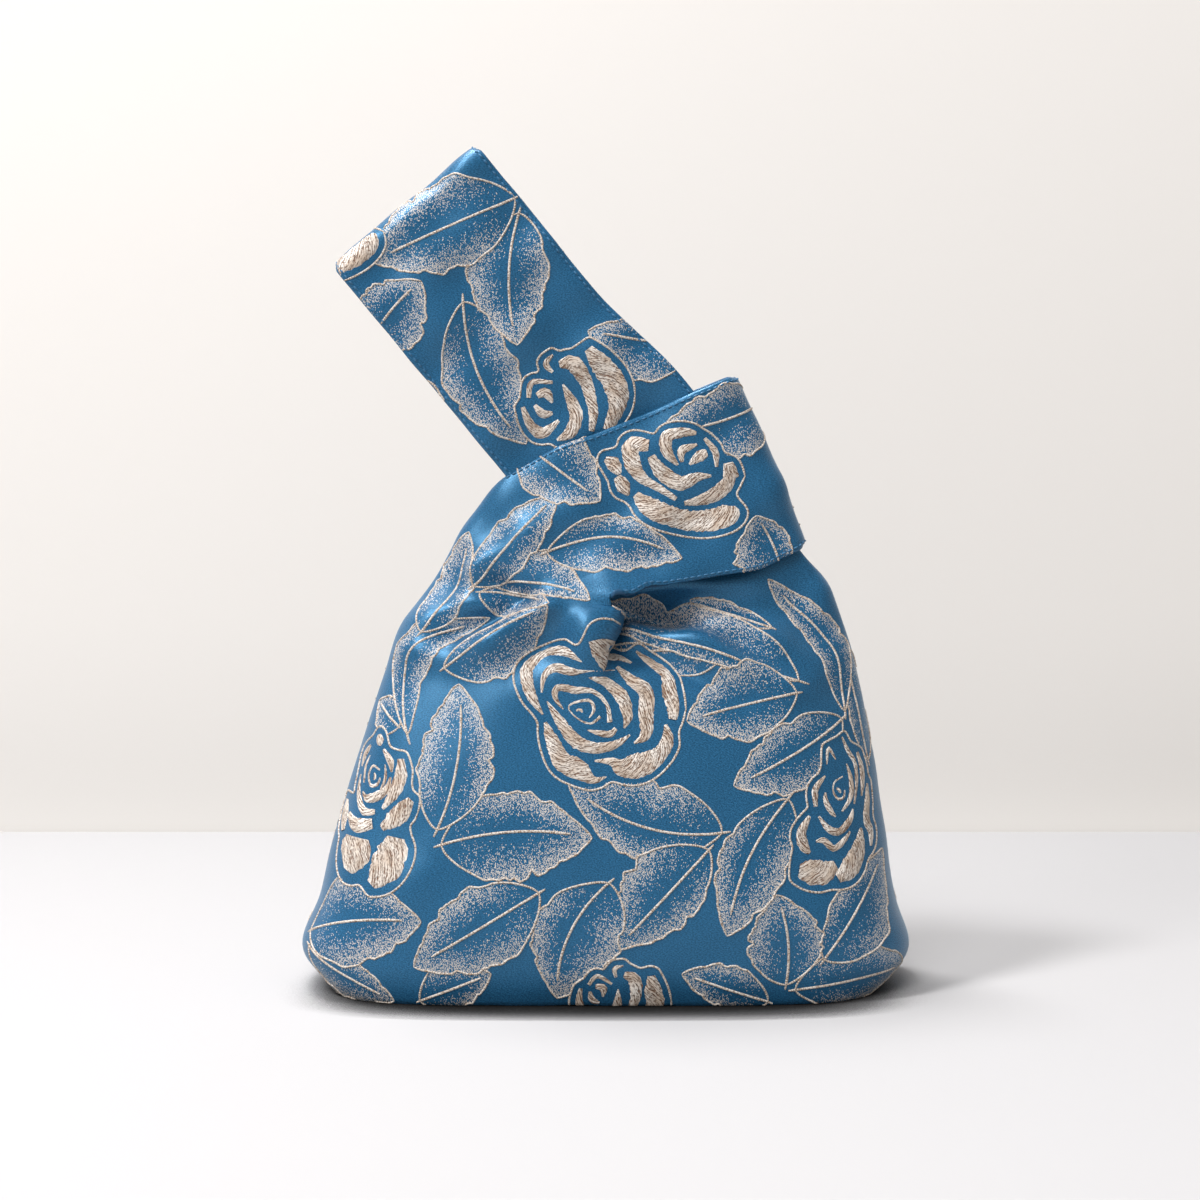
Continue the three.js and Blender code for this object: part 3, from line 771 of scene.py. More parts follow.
CUP_ROSE = [
    [(-7.7, -5.2, 1.3), (-12, 0, 5), (-12, 6, 5.4), (-6, 8, 4.3), (-0.4, 7.7, 2)],
    [(-6, -4, 1.5), (-6, 0.7, 3.9), (0, 3, 1.3)],
    [(-3, -5, 1.2), (1, -1.7, 5), (4, -0.4, 3)],
    [(3, 5.6, 1.7), (7.3, 0, 3), (7.7, -6, 1.5)],
    [(-18.5, -1.7, 3.4), (-14.6, -7.7, 6.5), (-7, -12.5, 6.5), (0, -10, 4), (5.6, -9.5, 1.2)],
    [(-19.4, 2.6, 5), (-26.2, 2.6, 7.5), (-25.8, -4.7, 7), (-22, -10.3, 4.7), (-16.4, -13.8, 3.4),
     (-8.6, -18.8, 2.2)],
    [(-37, -2.4, 2.6), (-33.6, -4.7, 6.4), (-31.2, -8.6, 2.4)],
    [(-32, -9.5, 3.4), (-29.7, -13.3, 6.4), (-27.4, -17, 1.3)],
    [(16.4, -10, 1.7), (13, -5.6, 5), (12.5, -12, 6), (6, -17.6, 6), (-5.2, -20.5, 2)],
    [(-24.5, -16.8, 3.4), (-18, -22.8, 9), (-7, -26.7, 8.6), (4.3, -27.5, 9.5), (13, -25, 9),
     (16, -22.4, 2.6)],
]
SPIRAL_ROSE = [
    [(2.8, 4, 0.8), (-1, 2.7, 0.9), (-2.1, -0.3, 0.9), (-0.7, -3.4, 1.2), (1.8, -3.4, 1.2),
     (2.8, -0.9, 0.8)],
    [(-0.6, 0.4, 0.9), (0.6, -0.6, 1.5), (0.9, -1.6, 0.8)],
    [(-5.3, -0.3, 1), (-5.6, -3.4, 2.2), (-3.9, -7.6, 2.2), (-2.5, -9.5, 0.8)],
    [(5.3, 8.2, 0.8), (6.3, 2.7, 2.2), (5.3, -3.4, 2.4), (0.4, -8.2, 1)],
    [(-4.6, 5.5, 1), (-9.1, 1.5, 2.8), (-9.8, -4.6, 1.8)],
    [(-9.1, -8.2, 1), (-6, -13.1, 2.6), (-1.8, -15, 3), (3.2, -11.9, 2.8), (5.3, -8.2, 1)],
    [(4.6, 18, 1), (6.8, 12.5, 2), (9.4, 7.6, 2), (8.9, 0.9, 1.8), (6.2, -6.6, 1)],
    [(11.4, 11.2, 1.5), (12.6, 5.2, 2.8), (12, 0.3, 2.6), (10.4, -4.6, 1)],
    [(14.6, -0.9, 1.5), (13.2, -7, 3.4), (11.5, -13.1, 4), (12.9, -18, 3.6), (11.9, -22.9, 1.5)],
    [(-12.6, -7.6, 1.5), (-16.5, -13.1, 4.2), (-15.8, -18, 4), (-14, -20.4, 1.5)],
    [(-11.2, -16.8, 1), (-8.1, -17, 2.5), (-4.6, -20.4, 2.5), (-0.4, -18.6, 2.4), (2.8, -15.8, 1)],
    [(-18.9, -25.9, 5), (-15, -27, 9), (-9.5, -28, 9.5), (-4.6, -26.5, 4)],
    [(-4.4, -31.2, 4), (0.8, -28.4, 8.5), (5.4, -23, 7), (8, -15.6, 1.5)],
    [(-3.4, 9.5, 0.8), (-2, 15, 1.8), (0.6, 10.6, 0.8)],
]
ROUND_ROSE = [
    [(2.8, 2.8, 1), (-1.2, 3.7, 1.2), (-3.2, 0, 1.4), (-1.2, -3.7, 1.5), (2.3, -2.8, 1.5), (3.4, 0, 1)],
    [(0, 1.2, 0.9), (0.8, -0.2, 1.7), (0, -1.4, 0.9)],
    [(5, 5.4, 0.8), (6, 0.6, 1.7), (4.4, -4.4, 1.2)],
    [(-4, 7.2, 0.8), (-6, 2.4, 1.7), (-5.6, -3.6, 1.2)],
    [(-5.4, -7, 1.2), (-2.6, -9, 3.2), (2.2, -7.6, 4.2), (7, -4, 3.2), (8.4, 1, 1.2)],
    [(-8.8, -1, 1.2), (-8, -8.2, 3), (-3.4, -13.8, 3.8), (3, -13.2, 2)],
    [(12, 8.6, 3), (12.8, 2.4, 6), (10.8, -4.4, 5.4), (6.4, -11.4, 1.6)],
    [(0, 16, 2), (0.6, 14, 5), (0.8, 11.8, 2)],
    [(3.4, 10.8, 1.6), (7.4, 7, 3.4), (8.6, 3, 1.2)],
    [(-4.6, 11, 1.4), (-8, 6.6, 3.2), (-9.2, 2, 1.2)],
    [(18.4, -6, 3), (14, -12.2, 8.2), (7, -18.6, 3)],
    [(-17.4, -12.4, 3), (-16.8, -18, 8.2), (-14.6, -24, 3)],
    [(-12.4, -17, 2.6), (-6, -20, 6.2), (2.6, -17.8, 4.2)],
    [(-4.8, -24.4, 13), (-4.8, -28, 18), (-5.4, -32.4, 16), (-6.8, -37.4, 6)],
    [(13.6, -21.2, 8), (13, -27, 14.5), (10, -34, 14), (5.6, -40.4, 5)],
]
SIDE_ROSE = [
    [(-3, 2.8, 2.5), (0.4, 4, 4.5), (2.8, 0, 1.2)],
    [(-4, -0.8, 1.6), (-0.8, -4.2, 3.8), (3, -4, 1.6)],
    [(-8.7, -1.6, 2), (-5.7, -8.5, 4), (-0.8, -11.7, 4.9), (5.5, -7, 1.6)],
    [(-6.3, 2, 2), (-4.9, 8, 2.5), (3, 8, 1.6)],
    [(7, 7.3, 1), (10.7, 0, 5), (12.3, -5.7, 5.7), (9.7, -11.7, 4.9), (4.9, -14.6, 1.2)],
    [(5.7, 15, 3), (11.3, 15.4, 7), (15.8, 9, 5.7), (17.8, 2.8, 4.9), (19, -4, 4), (18.2, -11, 2.4)],
    [(3.2, 18.8, 1), (0.4, 15.4, 2.8), (3, 12, 1.6)],
    [(17.2, 21.2, 4), (22.3, 14.6, 9), (27.5, 7.3, 9.7), (28.5, -0.8, 7.3), (24.3, -10.5, 4)],
]


class Rose:
    """A rose woven into the cloth: its petals as strokes, and an outline round them all."""

    STROKE_STEP = 1.0
    MARGIN = 2.3
    DIRECTIONS = 180
    ANGLES = np.arange(DIRECTIONS + 1) * 2 * math.pi / DIRECTIONS
    WAYS = np.stack([np.cos(ANGLES), np.sin(ANGLES)], 1)

    def __init__(self, strap, heart, petals, size, turn, flip=1):
        self.strap = strap
        self.strokes = []
        for petal in petals:
            line = curve(petal, self.STROKE_STEP)
            line[:, 0] *= flip
            places = heart + turned(line[:, :2], turn) * size
            self.strokes.append(np.column_stack([places, line[:, 2] * size]))
        every = np.concatenate(self.strokes)
        self.middle = (every[:, :2].max(0) + every[:, :2].min(0)) / 2
        self.reach = self.outline_reach(every)

    def outline_reach(self, every):
        """How far the outline is from the middle in each direction: as far as the petals, and a margin."""
        ways = self.WAYS[:-1]
        off = every[:, :2] - self.middle
        ahead = off @ ways.T
        aside = np.abs(off @ np.stack([-ways[:, 1], ways[:, 0]]))
        grown = every[:, 2:3] / 2 + self.MARGIN
        far = np.where(aside < grown, ahead + np.sqrt(np.maximum(grown**2 - aside**2, 0)), 0).max(0)
        for _ in range(2):
            far = (np.roll(far, 1) + 2 * far + np.roll(far, -1)) / 4
        return np.append(far, far[0])

    def ropes(self):
        return [(self.middle + self.WAYS * self.reach[:, None], EDGE_CORD)]

    def inside(self, flat):
        off = flat - self.middle
        angle = np.arctan2(off[:, 1], off[:, 0]) % (2 * math.pi)
        far = np.interp(angle, self.ANGLES, self.reach)
        return far - np.linalg.norm(off, axis=1), np.zeros(len(flat))


# The front's roses in the photograph: the heart's pixel, petals, size, turn in degrees, and a shift in
# millimetres on the cloth for one whose heart is cut away
FRONT_ROSES = {
    "centre": ((580, 710), OPEN_ROSE, 0.96, 0, (0, 0)),
    "band": ((697, 452), CUP_ROSE, 0.97, 0, (0, 0)),
    "long_strap": ((545, 403), SIDE_ROSE, 1.0, 0, (0, 0)),
    "left_side": ((374, 776), ROUND_ROSE, 1.0, -5, (0, 0)),
    "right_side": ((838, 789), SPIRAL_ROSE, 1.08, 6, (0, 0)),
    "under_middle": ((598, 994), SIDE_ROSE, 0.8, -30, (0, 0)),
    "strap_end": ((350, 262), CUP_ROSE, 0.9, 30, (-14, 22)),
}
# The front's leaves in the photograph: base and tip pixels, then in millimetres on the cloth half widths to
# the left and right of the way from base to tip, the bow of the midrib to the left, and how far the base is
# cut away
FRONT_LEAVES = {
    "strap_top": ((515, 198), (371, 261), 17, 19, 0),
    "strap_middle": ((519, 213), (517, 345), 15.5, 16.5, -3.6),
    "strap_left_edge": ((378, 335), (421, 281), 13, 16, 2, 8),
    "strap_low": ((463, 302), (526, 444), 16, 14, -6),
    "strap_right_edge": ((640, 340), (588, 331), 16, 9, 0, 22),
    "strap_left_low": ((425, 380), (445, 430), 4, 4, 0),
    "band_left": ((545, 460), (600, 501), 16, 14, 0, 16),
    "band_right_top": ((770, 398), (660, 432), 17, 13, 3),
    "band_right_low": ((742, 574), (756, 516), 17, 8, -2),
    "band_low": ((547, 552), (682, 558), 9, 14, 7),
    "shoulder_high": ((473, 586), (559, 492), 10, 9.5, 0),
    "shoulder_middle": ((484, 582), (590, 600), 14, 5, 3),
    "shoulder_dart": ((480, 592), (549, 603), 5, 9, 2),
    "shoulder_low": ((444, 668), (548, 606), 6, 17, 0),
    "left_contour_high": ((421, 632), (469, 532), 12, 8, -2),
    "left_contour_long": ((407, 734), (490, 618), 9, 10, 15),
    "left_contour_low": ((399, 727), (380, 700), 9, 8, 0),
    "left_tall": ((437, 830), (459, 684), 16, 14.5, -4.4),
    "left_flat": ((441, 845), (592, 838), 16, 19, 4),
    "left_big": ((311, 930), (421, 922), 18, 17, 3),
    "left_lower": ((539, 893), (414, 967), 16.5, 15.5, 0),
    "middle_low": ((609, 883), (557, 998), 20, 15, -6),
    "middle_lower_right": ((709, 850), (616, 949), 13, 18, 0),
    "under_rose": ((722, 833), (568, 783), 12.5, 19, 7),
    "right_middle": ((788, 799), (727, 936), 16.5, 11.5, -4.6),
    "right_upright": ((786, 985), (777, 895), 16, 14, -2.5),
    "right_contour_low": ((824, 960), (882, 848), 11, 18, 0),
    "right_bottom": ((795, 990), (902, 962), 14, 11, 0),
    "bottom_right": ((768, 1002), (682, 974), 8, 10, 0),
    "bottom_left": ((420, 1001), (491, 974), 11, 9, 0),
    "corner_left": ((309, 945), (394, 1001), 8, 10, 0),
    "right_high": ((842, 719), (734, 786), 15, 13, 1),
    "right_higher": ((797, 693), (687, 721), 14, 16, -1),
    "scoop_upper": ((799, 681), (612, 606), 3.5, 21, 2),
    "scoop_low": ((722, 657), (604, 640), 10, 2.5, -2),
    "under_band": ((772, 628), (690, 600), 4, 6, 0),
    "right_shoulder": ((845, 711), (768, 579), 8, 9, -7),
    "right_contour": ((868, 760), (844, 645), 6, 14, 0),
}
# The back's roses, by the heart's place on the flat cloth, with -1 at the end for a mirrored one
BACK_ROSES = {
    "middle": ("short", (-34, 74), OPEN_ROSE, 0.95, 25, -1),
    "low_right": ("long", (78, 40), CUP_ROSE, 1.0, -20),
    "high_right": ("long", (62, 118), SIDE_ROSE, 1.05, 15),
    "low_left": ("short", (-118, 34), SIDE_ROSE, 1.0, 60),
    "far_right": ("long", (138, 74), OPEN_ROSE, 0.85, 110),
    "under": ("short", (-10, -20), CUP_ROSE, 1.0, 160),
    "band_start": ("short", (-62, 165), CUP_ROSE, 0.95, 10, -1),
    "band": ("short", (24, 212), SIDE_ROSE, 1.0, -20),
    "strap_start": ("long", (20, 208), CUP_ROSE, 0.95, 30),
    "strap": ("long", (-62, 286), OPEN_ROSE, 0.8, -30),
}
# Leaves that fill the cloth between these
LEAF_LENGTHS = (58, 50, 42, 34, 28)
LEAF_WIDTHS = (0.24, 0.3)  # least and greatest half width, as shares of the length
LEAF_BEND = 0.08
TRIES = 260  # for each length
MOTIF_GAP = 1.2
STRAPS_APART = 30  # this far above the neckline, motifs of the two straps can't meet
SHARE_ON_CLOTH = 0.55  # how much of a leaf has to be on the cloth
SEEN_DEPTH = 1.5  # points this near behind the first thing that the camera meets are seen
FRONT_SEED = 7
BACK_SEED = 11
THREAD_SEED = 3


def front_motifs(cloth):
    rng = np.random.default_rng(FRONT_SEED)
    made = []
    for pixel, petals, size, turn, shift in FRONT_ROSES.values():
        strap, heart = cloth.spot(pixel)
        made.append(Rose(strap, heart + shift, petals, size, turn))
    for base, tip, left, right, bend, *past in FRONT_LEAVES.values():
        strap, start = cloth.spot(base)
        other, end = cloth.spot(tip)
        if end[1] > SCOOP_HEIGHT:
            strap = other
        if past:
            start = start - (end - start) / np.linalg.norm(end - start) * past[0]
        made.append(Leaf(strap, start, end, left, right, bend, rng))
    hidden = ~seen(cloth)
    return made + fillers(cloth, made, hidden, rng)


def seen(cloth):
    """Which points of the cloth the photograph shows."""
    eye = Vector(camera_place())
    shown = np.zeros(len(cloth.face), bool)
    facing = ((camera_place() - cloth.face) * cloth.normals).sum(1) > 0
    for k in np.flatnonzero(facing):
        ray = Vector(cloth.face[k]) - eye
        hit = cloth.space_tree.ray_cast(eye, ray.normalized())
        shown[k] = hit[3] is None or hit[3] > ray.length - SEEN_DEPTH
    return shown


def back_motifs(cloth):
    rng = np.random.default_rng(BACK_SEED)
    made = [Rose(strap, np.array(heart), *rest) for strap, heart, *rest in BACK_ROSES.values()]
    return made + fillers(cloth, made, np.ones(len(cloth.face), bool), rng)


def fillers(cloth, motifs, free, rng):
    """Leaves of falling length, put where the free cloth has room for them between the motifs."""
    made = []
    for length in LEAF_LENGTHS:
        for _ in range(TRIES):
            k = rng.choice(np.flatnonzero(free))
            strap = cloth.strap_at(k, cloth.flat[k])
            half = direction(rng.uniform(0, 360)) * length / 2
            middle = cloth.flat[k]
            wide = length * rng.uniform(*LEAF_WIDTHS, 2)
            bend = length * rng.uniform(-LEAF_BEND, LEAF_BEND)
            leaf = Leaf(strap, middle - half, middle + half, *wide, bend, rng)
            if fits(leaf, motifs + made, cloth, free):
                made.append(leaf)
    return made


def fits(leaf, motifs, cloth, free):
    spots = leaf.sample()
    for other in motifs:
        if other.strap != leaf.strap and leaf.base[1] > SCOOP_HEIGHT + STRAPS_APART:
            continue
        if (other.inside(spots)[0] > -MOTIF_GAP).any():
            return False
    corners, on_cloth = cloth.nearest(leaf.strap, spots[::3])
    return on_cloth.sum() >= SHARE_ON_CLOTH * len(on_cloth) and free[corners[on_cloth]].all()


class Overlay:
    """Raised thread on the cloth, gathered into one mesh with thread directions."""

    SECTION = [(-0.5, -0.3), (-0.36, 0.55), (0, 1), (0.36, 0.55), (0.5, -0.3)]  # shares of width and height
    ROPE_STEP = 0.9
    ROPE_HEIGHT = 0.42
    ROPE_OVERLAP = 0.2  # how far a rope may run into other motifs
    MANY = 90  # a line of more points than this
    FEW = 40  # is drawn through about as few as this
    TAPER = (0.55, 0.2)  # a rope's width at its ends, as a share, and what it gains with each point
    PETAL_COLUMNS = 9
    RAGGED = 0.05  # how much a petal's half width varies from row to row
    PETAL_HEIGHT = 0.55
    PETAL_FULL = 3  # narrower petals are lower
    PETAL_CROWN = 4  # how flat a petal is across: 2 would be round
    PETAL_SINK = 0.12
    WIDE = 7  # petals wider than this have threads that cross them more
    WIDE_SLANT = 36  # degrees between a petal's threads and its stroke
    SLANT = 16
    THREAD_SHIFT = 40  # so that no two petals have the same threads

    def __init__(self, cloth):
        self.cloth = cloth
        self.rng = np.random.default_rng(THREAD_SEED)
        self.verts, self.faces, self.thread, self.count = [], [], [], 0

    def add_grid(self, points, thread):
        rows, columns = points.shape[:2]
        self.verts.append(points.reshape(-1, 3))
        self.thread.append(thread.reshape(-1, 2))
        self.faces.append(grid_cells(self.count + np.arange(rows * columns).reshape(rows, columns)))
        self.count += rows * columns

    def rope(self, motif, line, width, others):
        """A rope of thread along a line on the flat cloth, left out where it runs under other motifs."""
        if len(line) > self.MANY:
            line = line[:: len(line) // self.FEW]
        line = curve(line, self.ROPE_STEP)
        points, normals, kept = self.cloth.lift(motif.strap, line)
        for other in others:
            if other.strap == motif.strap or line[:, 1].max() < SCOOP_HEIGHT:
                kept = kept & (other.inside(line)[0] < self.ROPE_OVERLAP)
        for run in runs_of(kept):
            if len(run) > 2:
                self.sweep(points[run], normals[run], width, self.ROPE_HEIGHT)

    def sweep(self, points, normals, width, height):
        """A raised thread along a line of points."""
        side = unit(np.cross(normals, np.gradient(points, axis=0)))
        count = np.arange(len(points))
        least, gain = self.TAPER
        taper = np.minimum(1, least + np.minimum(count, count[::-1]) * gain)
        reach = lengths_along(points)
        grid, thread = [], []
        for across, up in self.SECTION:
            grid.append(points + side * (across * width * taper)[:, None] + normals * up * height)
            thread.append(np.stack([reach, np.full(len(reach), across * width)], 1))
        self.add_grid(np.stack(grid, 1), np.stack(thread, 1))

    def petal(self, motif, stroke):
        """A low cushion of threads along a stroke on the flat cloth."""
        places, width = stroke[:, :2], stroke[:, 2:3]
        ahead = unit(np.gradient(places, axis=0))
        side = np.stack([-ahead[:, 1], ahead[:, 0]], 1)
        across = np.linspace(-0.5, 0.5, self.PETAL_COLUMNS)
        uneven = self.rng.normal(0, self.RAGGED, (len(stroke), 2))
        ragged = across * (1 + uneven[:, (across > 0).astype(int)])
        flat = places[:, None] + side[:, None] * (width * ragged)[:, :, None]
        points, normals, kept = self.cloth.lift(motif.strap, flat.reshape(-1, 2))
        crown = 1 - (2 * np.abs(across)) ** self.PETAL_CROWN
        rise = np.minimum(1, width / self.PETAL_FULL) * self.PETAL_HEIGHT * crown - self.PETAL_SINK
        points = points.reshape(*flat.shape[:2], 3) + normals.reshape(*flat.shape[:2], 3) * rise[:, :, None]
        reach = lengths_along(places) + self.THREAD_SHIFT * len(self.verts)
        slant = self.WIDE_SLANT if width.max() > self.WIDE else self.SLANT
        thread = turned(np.stack(np.broadcast_arrays(reach[:, None], width * across), 2), -slant)
        for run in runs_of(kept.reshape(flat.shape[:2]).all(1)):
            if len(run) > 1:
                self.add_grid(points[run], thread[run])

    def mesh(self, name, back):
        verts, faces = np.concatenate(self.verts), np.concatenate(self.faces)
        if back:
            verts = verts * [1, -1, 1]
        else:
            faces = faces[:, ::-1]
        made = new_mesh(name, verts, faces)
        thread = np.column_stack([np.concatenate(self.thread), np.zeros(len(verts))])
        put_attribute(made, "thread", "FLOAT_VECTOR", thread)
        return made


def runs_of(kept):
    """The unbroken stretches of places that are kept."""
    places = np.flatnonzero(kept)
    if len(places) == 0:
        return []
    return np.split(places, np.flatnonzero(np.diff(places) > 1) + 1)


FAR_OUT = -50.0  # cloth outside all motifs counts as this far inside one


def leaf_marks(cloth, motifs):
    """For each point of the cloth, how far inside a leaf it is, and how thick the leaf's dots are there."""
    edge = np.full(len(cloth.flat), FAR_OUT)
    shade = np.zeros(len(cloth.flat))
    owned = np.zeros(len(cloth.flat), bool)
    for motif in motifs:
        other = "long" if motif.strap == "short" else "short"
        depth, dots = motif.inside(cloth.flat)
        free = ~owned & ~cloth.on[other]
        if isinstance(motif, Rose):
            owned |= free & (depth > 0)
            edge = np.where(free & (depth > 0), -depth, edge)
            continue
        better = free & (depth > edge)
        edge = np.where(better, depth, edge)
        shade = np.where(better, dots, shade)
        owned |= free & (depth > 0)
    return edge, shade


def put_attribute(obj, name, kind, values):
    layer = obj.data.attributes.new(name, kind, "POINT")
    field = "vector" if kind == "FLOAT_VECTOR" else "value"
    layer.data.foreach_set(field, np.ascontiguousarray(values).ravel())


def thick_mesh(name, cloth, inside, outside, back):
    """A closed piece of cloth between two distances out from the cloth's middle."""
    points, normals, rim = cloth.points, cloth.normals, cloth.rim
    count = len(points)
    verts = np.concatenate([points + normals * outside[:, None], points + normals * inside[:, None]])
    sides = np.stack([rim[:, 1], rim[:, 0], rim[:, 0] + count, rim[:, 1] + count], 1)
    faces = np.concatenate([cloth.cells, cloth.cells[:, ::-1] + count, sides])
    if back:
        verts = verts * [1, -1, 1]
        faces = faces[:, ::-1]
    return new_mesh(name, verts, faces)


def new_mesh(name, verts, faces):
    mesh = bpy.data.meshes.new(name)
    lists = []
    for face in faces.tolist():
        kept = [v for k, v in enumerate(face) if v != face[k - 1]]
        if len(kept) > 2:
            lists.append(kept)
    mesh.from_pydata((verts * MM).tolist(), [], lists)
    mesh.update()
    mesh.shade_smooth()
    obj = bpy.data.objects.new(name, mesh)
    bpy.context.scene.collection.objects.link(obj)
    return obj


# Topstitching along both edges of each strap
STITCH_INSET = 1.7
STITCH_PITCH = 2.8
STITCH_LENGTH = 2.0
STITCH_WIDTH = 0.85
STITCH_RISE = 0.45
STITCH_DIP = np.array([-0.18, 0.09, 0.18, 0.18, 0.09, -0.18])  # heights along it: its ends go into the cloth
STITCH_COLUMNS = 12  # columns of the cloth at its edge, more than the inset needs
SHORT_STITCH_START = (58, 16)  # how far up from the neckline they begin, along the outer and the inner edge
LONG_STITCH_START = (80, 40)


def stitches(cloth, overlay):
    for rows, first in ((cloth.sheet.short, SHORT_STITCH_START), (cloth.sheet.long, LONG_STITCH_START)):
        for edge, begin in zip((rows, rows[:, ::-1]), first):
            line, normals = inset_line(cloth, edge)
            reach = lengths_along(line)
            for start in np.arange(begin, reach[-1] - STITCH_PITCH, STITCH_PITCH):
                goal = np.linspace(start, start + STITCH_LENGTH, len(STITCH_DIP))
                out = at_lengths(goal, reach, normals)
                points = at_lengths(goal, reach, line) + out * STITCH_DIP[:, None]
                overlay.sweep(points, out, STITCH_WIDTH, STITCH_RISE)


def inset_line(cloth, edge):
    """The line of stitches along an edge, as points and directions out of the cloth."""
    line, normals = [], []
    for row in edge[1:, :STITCH_COLUMNS]:
        reach = lengths_along(cloth.face[row])
        line.append(at_lengths(STITCH_INSET, reach, cloth.face[row]))
        normals.append(at_lengths(STITCH_INSET, reach, cloth.normals[row]))
    return np.array(line), np.array(normals)


# Materials
def linear(red, green, blue):
    """A colour as seen on a screen, from 0 to 255, as linear light."""
    return tuple(((c / 255 + 0.055) / 1.055) ** 2.4 for c in (red, green, blue))


BLUE = linear(43, 104, 147)
BLUE_DARK = linear(13, 60, 91)
CREAM = linear(206, 188, 171)
GOLD = linear(128, 94, 72)
CORD_DARK = linear(150, 125, 102)
# pale thread tone, also used for the petals' patches of painted sheen
PALE_THREAD_AND_SHEEN = linear(244, 237, 229)
DOT_CREAM = linear(216, 206, 196)
ROPE_CREAM = linear(220, 211, 202)
LINING_BLUE = linear(34, 84, 122)
STITCH_BLUE = linear(58, 112, 152)
BROCADE_LOOK = {
    "IOR": 1.7,
    "Specular IOR Level": 0.8,
    "Specular Tint": (*linear(140, 205, 250), 1),
    "Sheen Weight": 0.12,
    "Sheen Roughness": 0.35,
    "Sheen Tint": (*linear(120, 190, 240), 1),
}
PETAL_LOOK = {"Specular IOR Level": 0.5}
DULL_LOOK = {"Specular IOR Level": 0.0}
BROCADE_ROUGHNESS = 0.34
CORD_ROUGHNESS = 0.5
PETAL_ROUGHNESS = 0.38
STITCH_ROUGHNESS = 0.45
LINING_ROUGHNESS = 0.5

# Noise in the materials: cells to a millimetre along two ways of the cloth or thread, turn in radians, and
# the range of its values that is spread from 0 to 1
GRAIN_SCALE, GRAIN_TURN, GRAIN_RANGE = (1.5, 2.6, 1), 0.7, (0.36, 0.64)
DOT_SCALE, DOT_TURN = (3.1, 2.1, 1), 0.6
DOT_REACH = 0.54  # radius of a dot, in cells
DOT_SHARE = 0.92  # share of cells with a dot where dots lie thickest
TWIST_SCALE, TWIST_TURN, TWIST_RANGE = (1.5, 1.1, 1), 0.5, (0.36, 0.56)
THREAD_SCALE, THREAD_RANGE = (0.12, 1.8, 1), (0.39, 0.52)
SPECK_SCALE, SPECK_SHARE = (0.8, 2.4, 1), 0.45
# broad patches of the petals' colour, partly the thread's tone and partly painted sheen
SHEEN_PATCH_SCALE, SHEEN_PATCH_RANGE = (0.14, 0.2, 1), (0.35, 0.65)
# Bumps: strength, and height in metres
CLOTH_BUMP = (0.35, 0.0003)
GRAIN_BUMP_SHARE = 0.35
CORD_BUMP = (0.6, 0.0003)
PETAL_BUMP = (0.9, 0.0006)


def add_node(tree, kind, inputs=None, **settings):
    made = tree.nodes.new(kind)
    for name, value in settings.items():
        setattr(made, name, value)
    for name, value in (inputs or {}).items():
        if isinstance(value, bpy.types.NodeSocket):
            tree.links.new(value, made.inputs[name])
        else:
            made.inputs[name].default_value = value
    return made


def math_node(tree, operation, a, b):
    return add_node(tree, "ShaderNodeMath", {0: a, 1: b}, operation=operation).outputs[0]


def mix_colour(tree, share, a, b):
    made = add_node(tree, "ShaderNodeMix", data_type="RGBA")
    for socket, value in ((made.inputs[0], share), (made.inputs[6], a), (made.inputs[7], b)):
        if isinstance(value, bpy.types.NodeSocket):
            tree.links.new(value, socket)
        else:
            socket.default_value = (*value, 1) if isinstance(value, tuple) else value
    return made.outputs[2]


def plain_material(name, colour, roughness, look=None):
    material = bpy.data.materials.new(name)
    material.use_nodes = True
    inputs = material.node_tree.nodes["Principled BSDF"].inputs
    for socket, value in {"Base Color": (*colour, 1), "Roughness": roughness, **(look or {})}.items():
        inputs[socket].default_value = value
    return material


def thread_coordinates(tree, attribute, scale, turn=0.0):
    source = add_node(tree, "ShaderNodeAttribute", attribute_name=attribute)
    inputs = {"Vector": source.outputs["Vector"], "Scale": scale, "Rotation": (0, 0, turn)}
    return add_node(tree, "ShaderNodeMapping", inputs).outputs[0]


def noise(tree, attribute, scale, detail, turn=0.0):
    inputs = {"Vector": thread_coordinates(tree, attribute, scale, turn), "Scale": 1.0, "Detail": detail}
    return add_node(tree, "ShaderNodeTexNoise", inputs).outputs[0]


def spread_range(tree, value, low, high):
    return add_node(tree, "ShaderNodeMapRange", {0: value, 1: low, 2: high}).outputs[0]


def colour_and_bump(material, colour, height, strength, distance):
    tree = material.node_tree
    inputs = {"Height": height, "Strength": strength, "Distance": distance}
    normal = add_node(tree, "ShaderNodeBump", inputs).outputs[0]
    shader = tree.nodes["Principled BSDF"]
    tree.links.new(colour, shader.inputs["Base Color"])
    tree.links.new(normal, shader.inputs["Normal"])
    return material


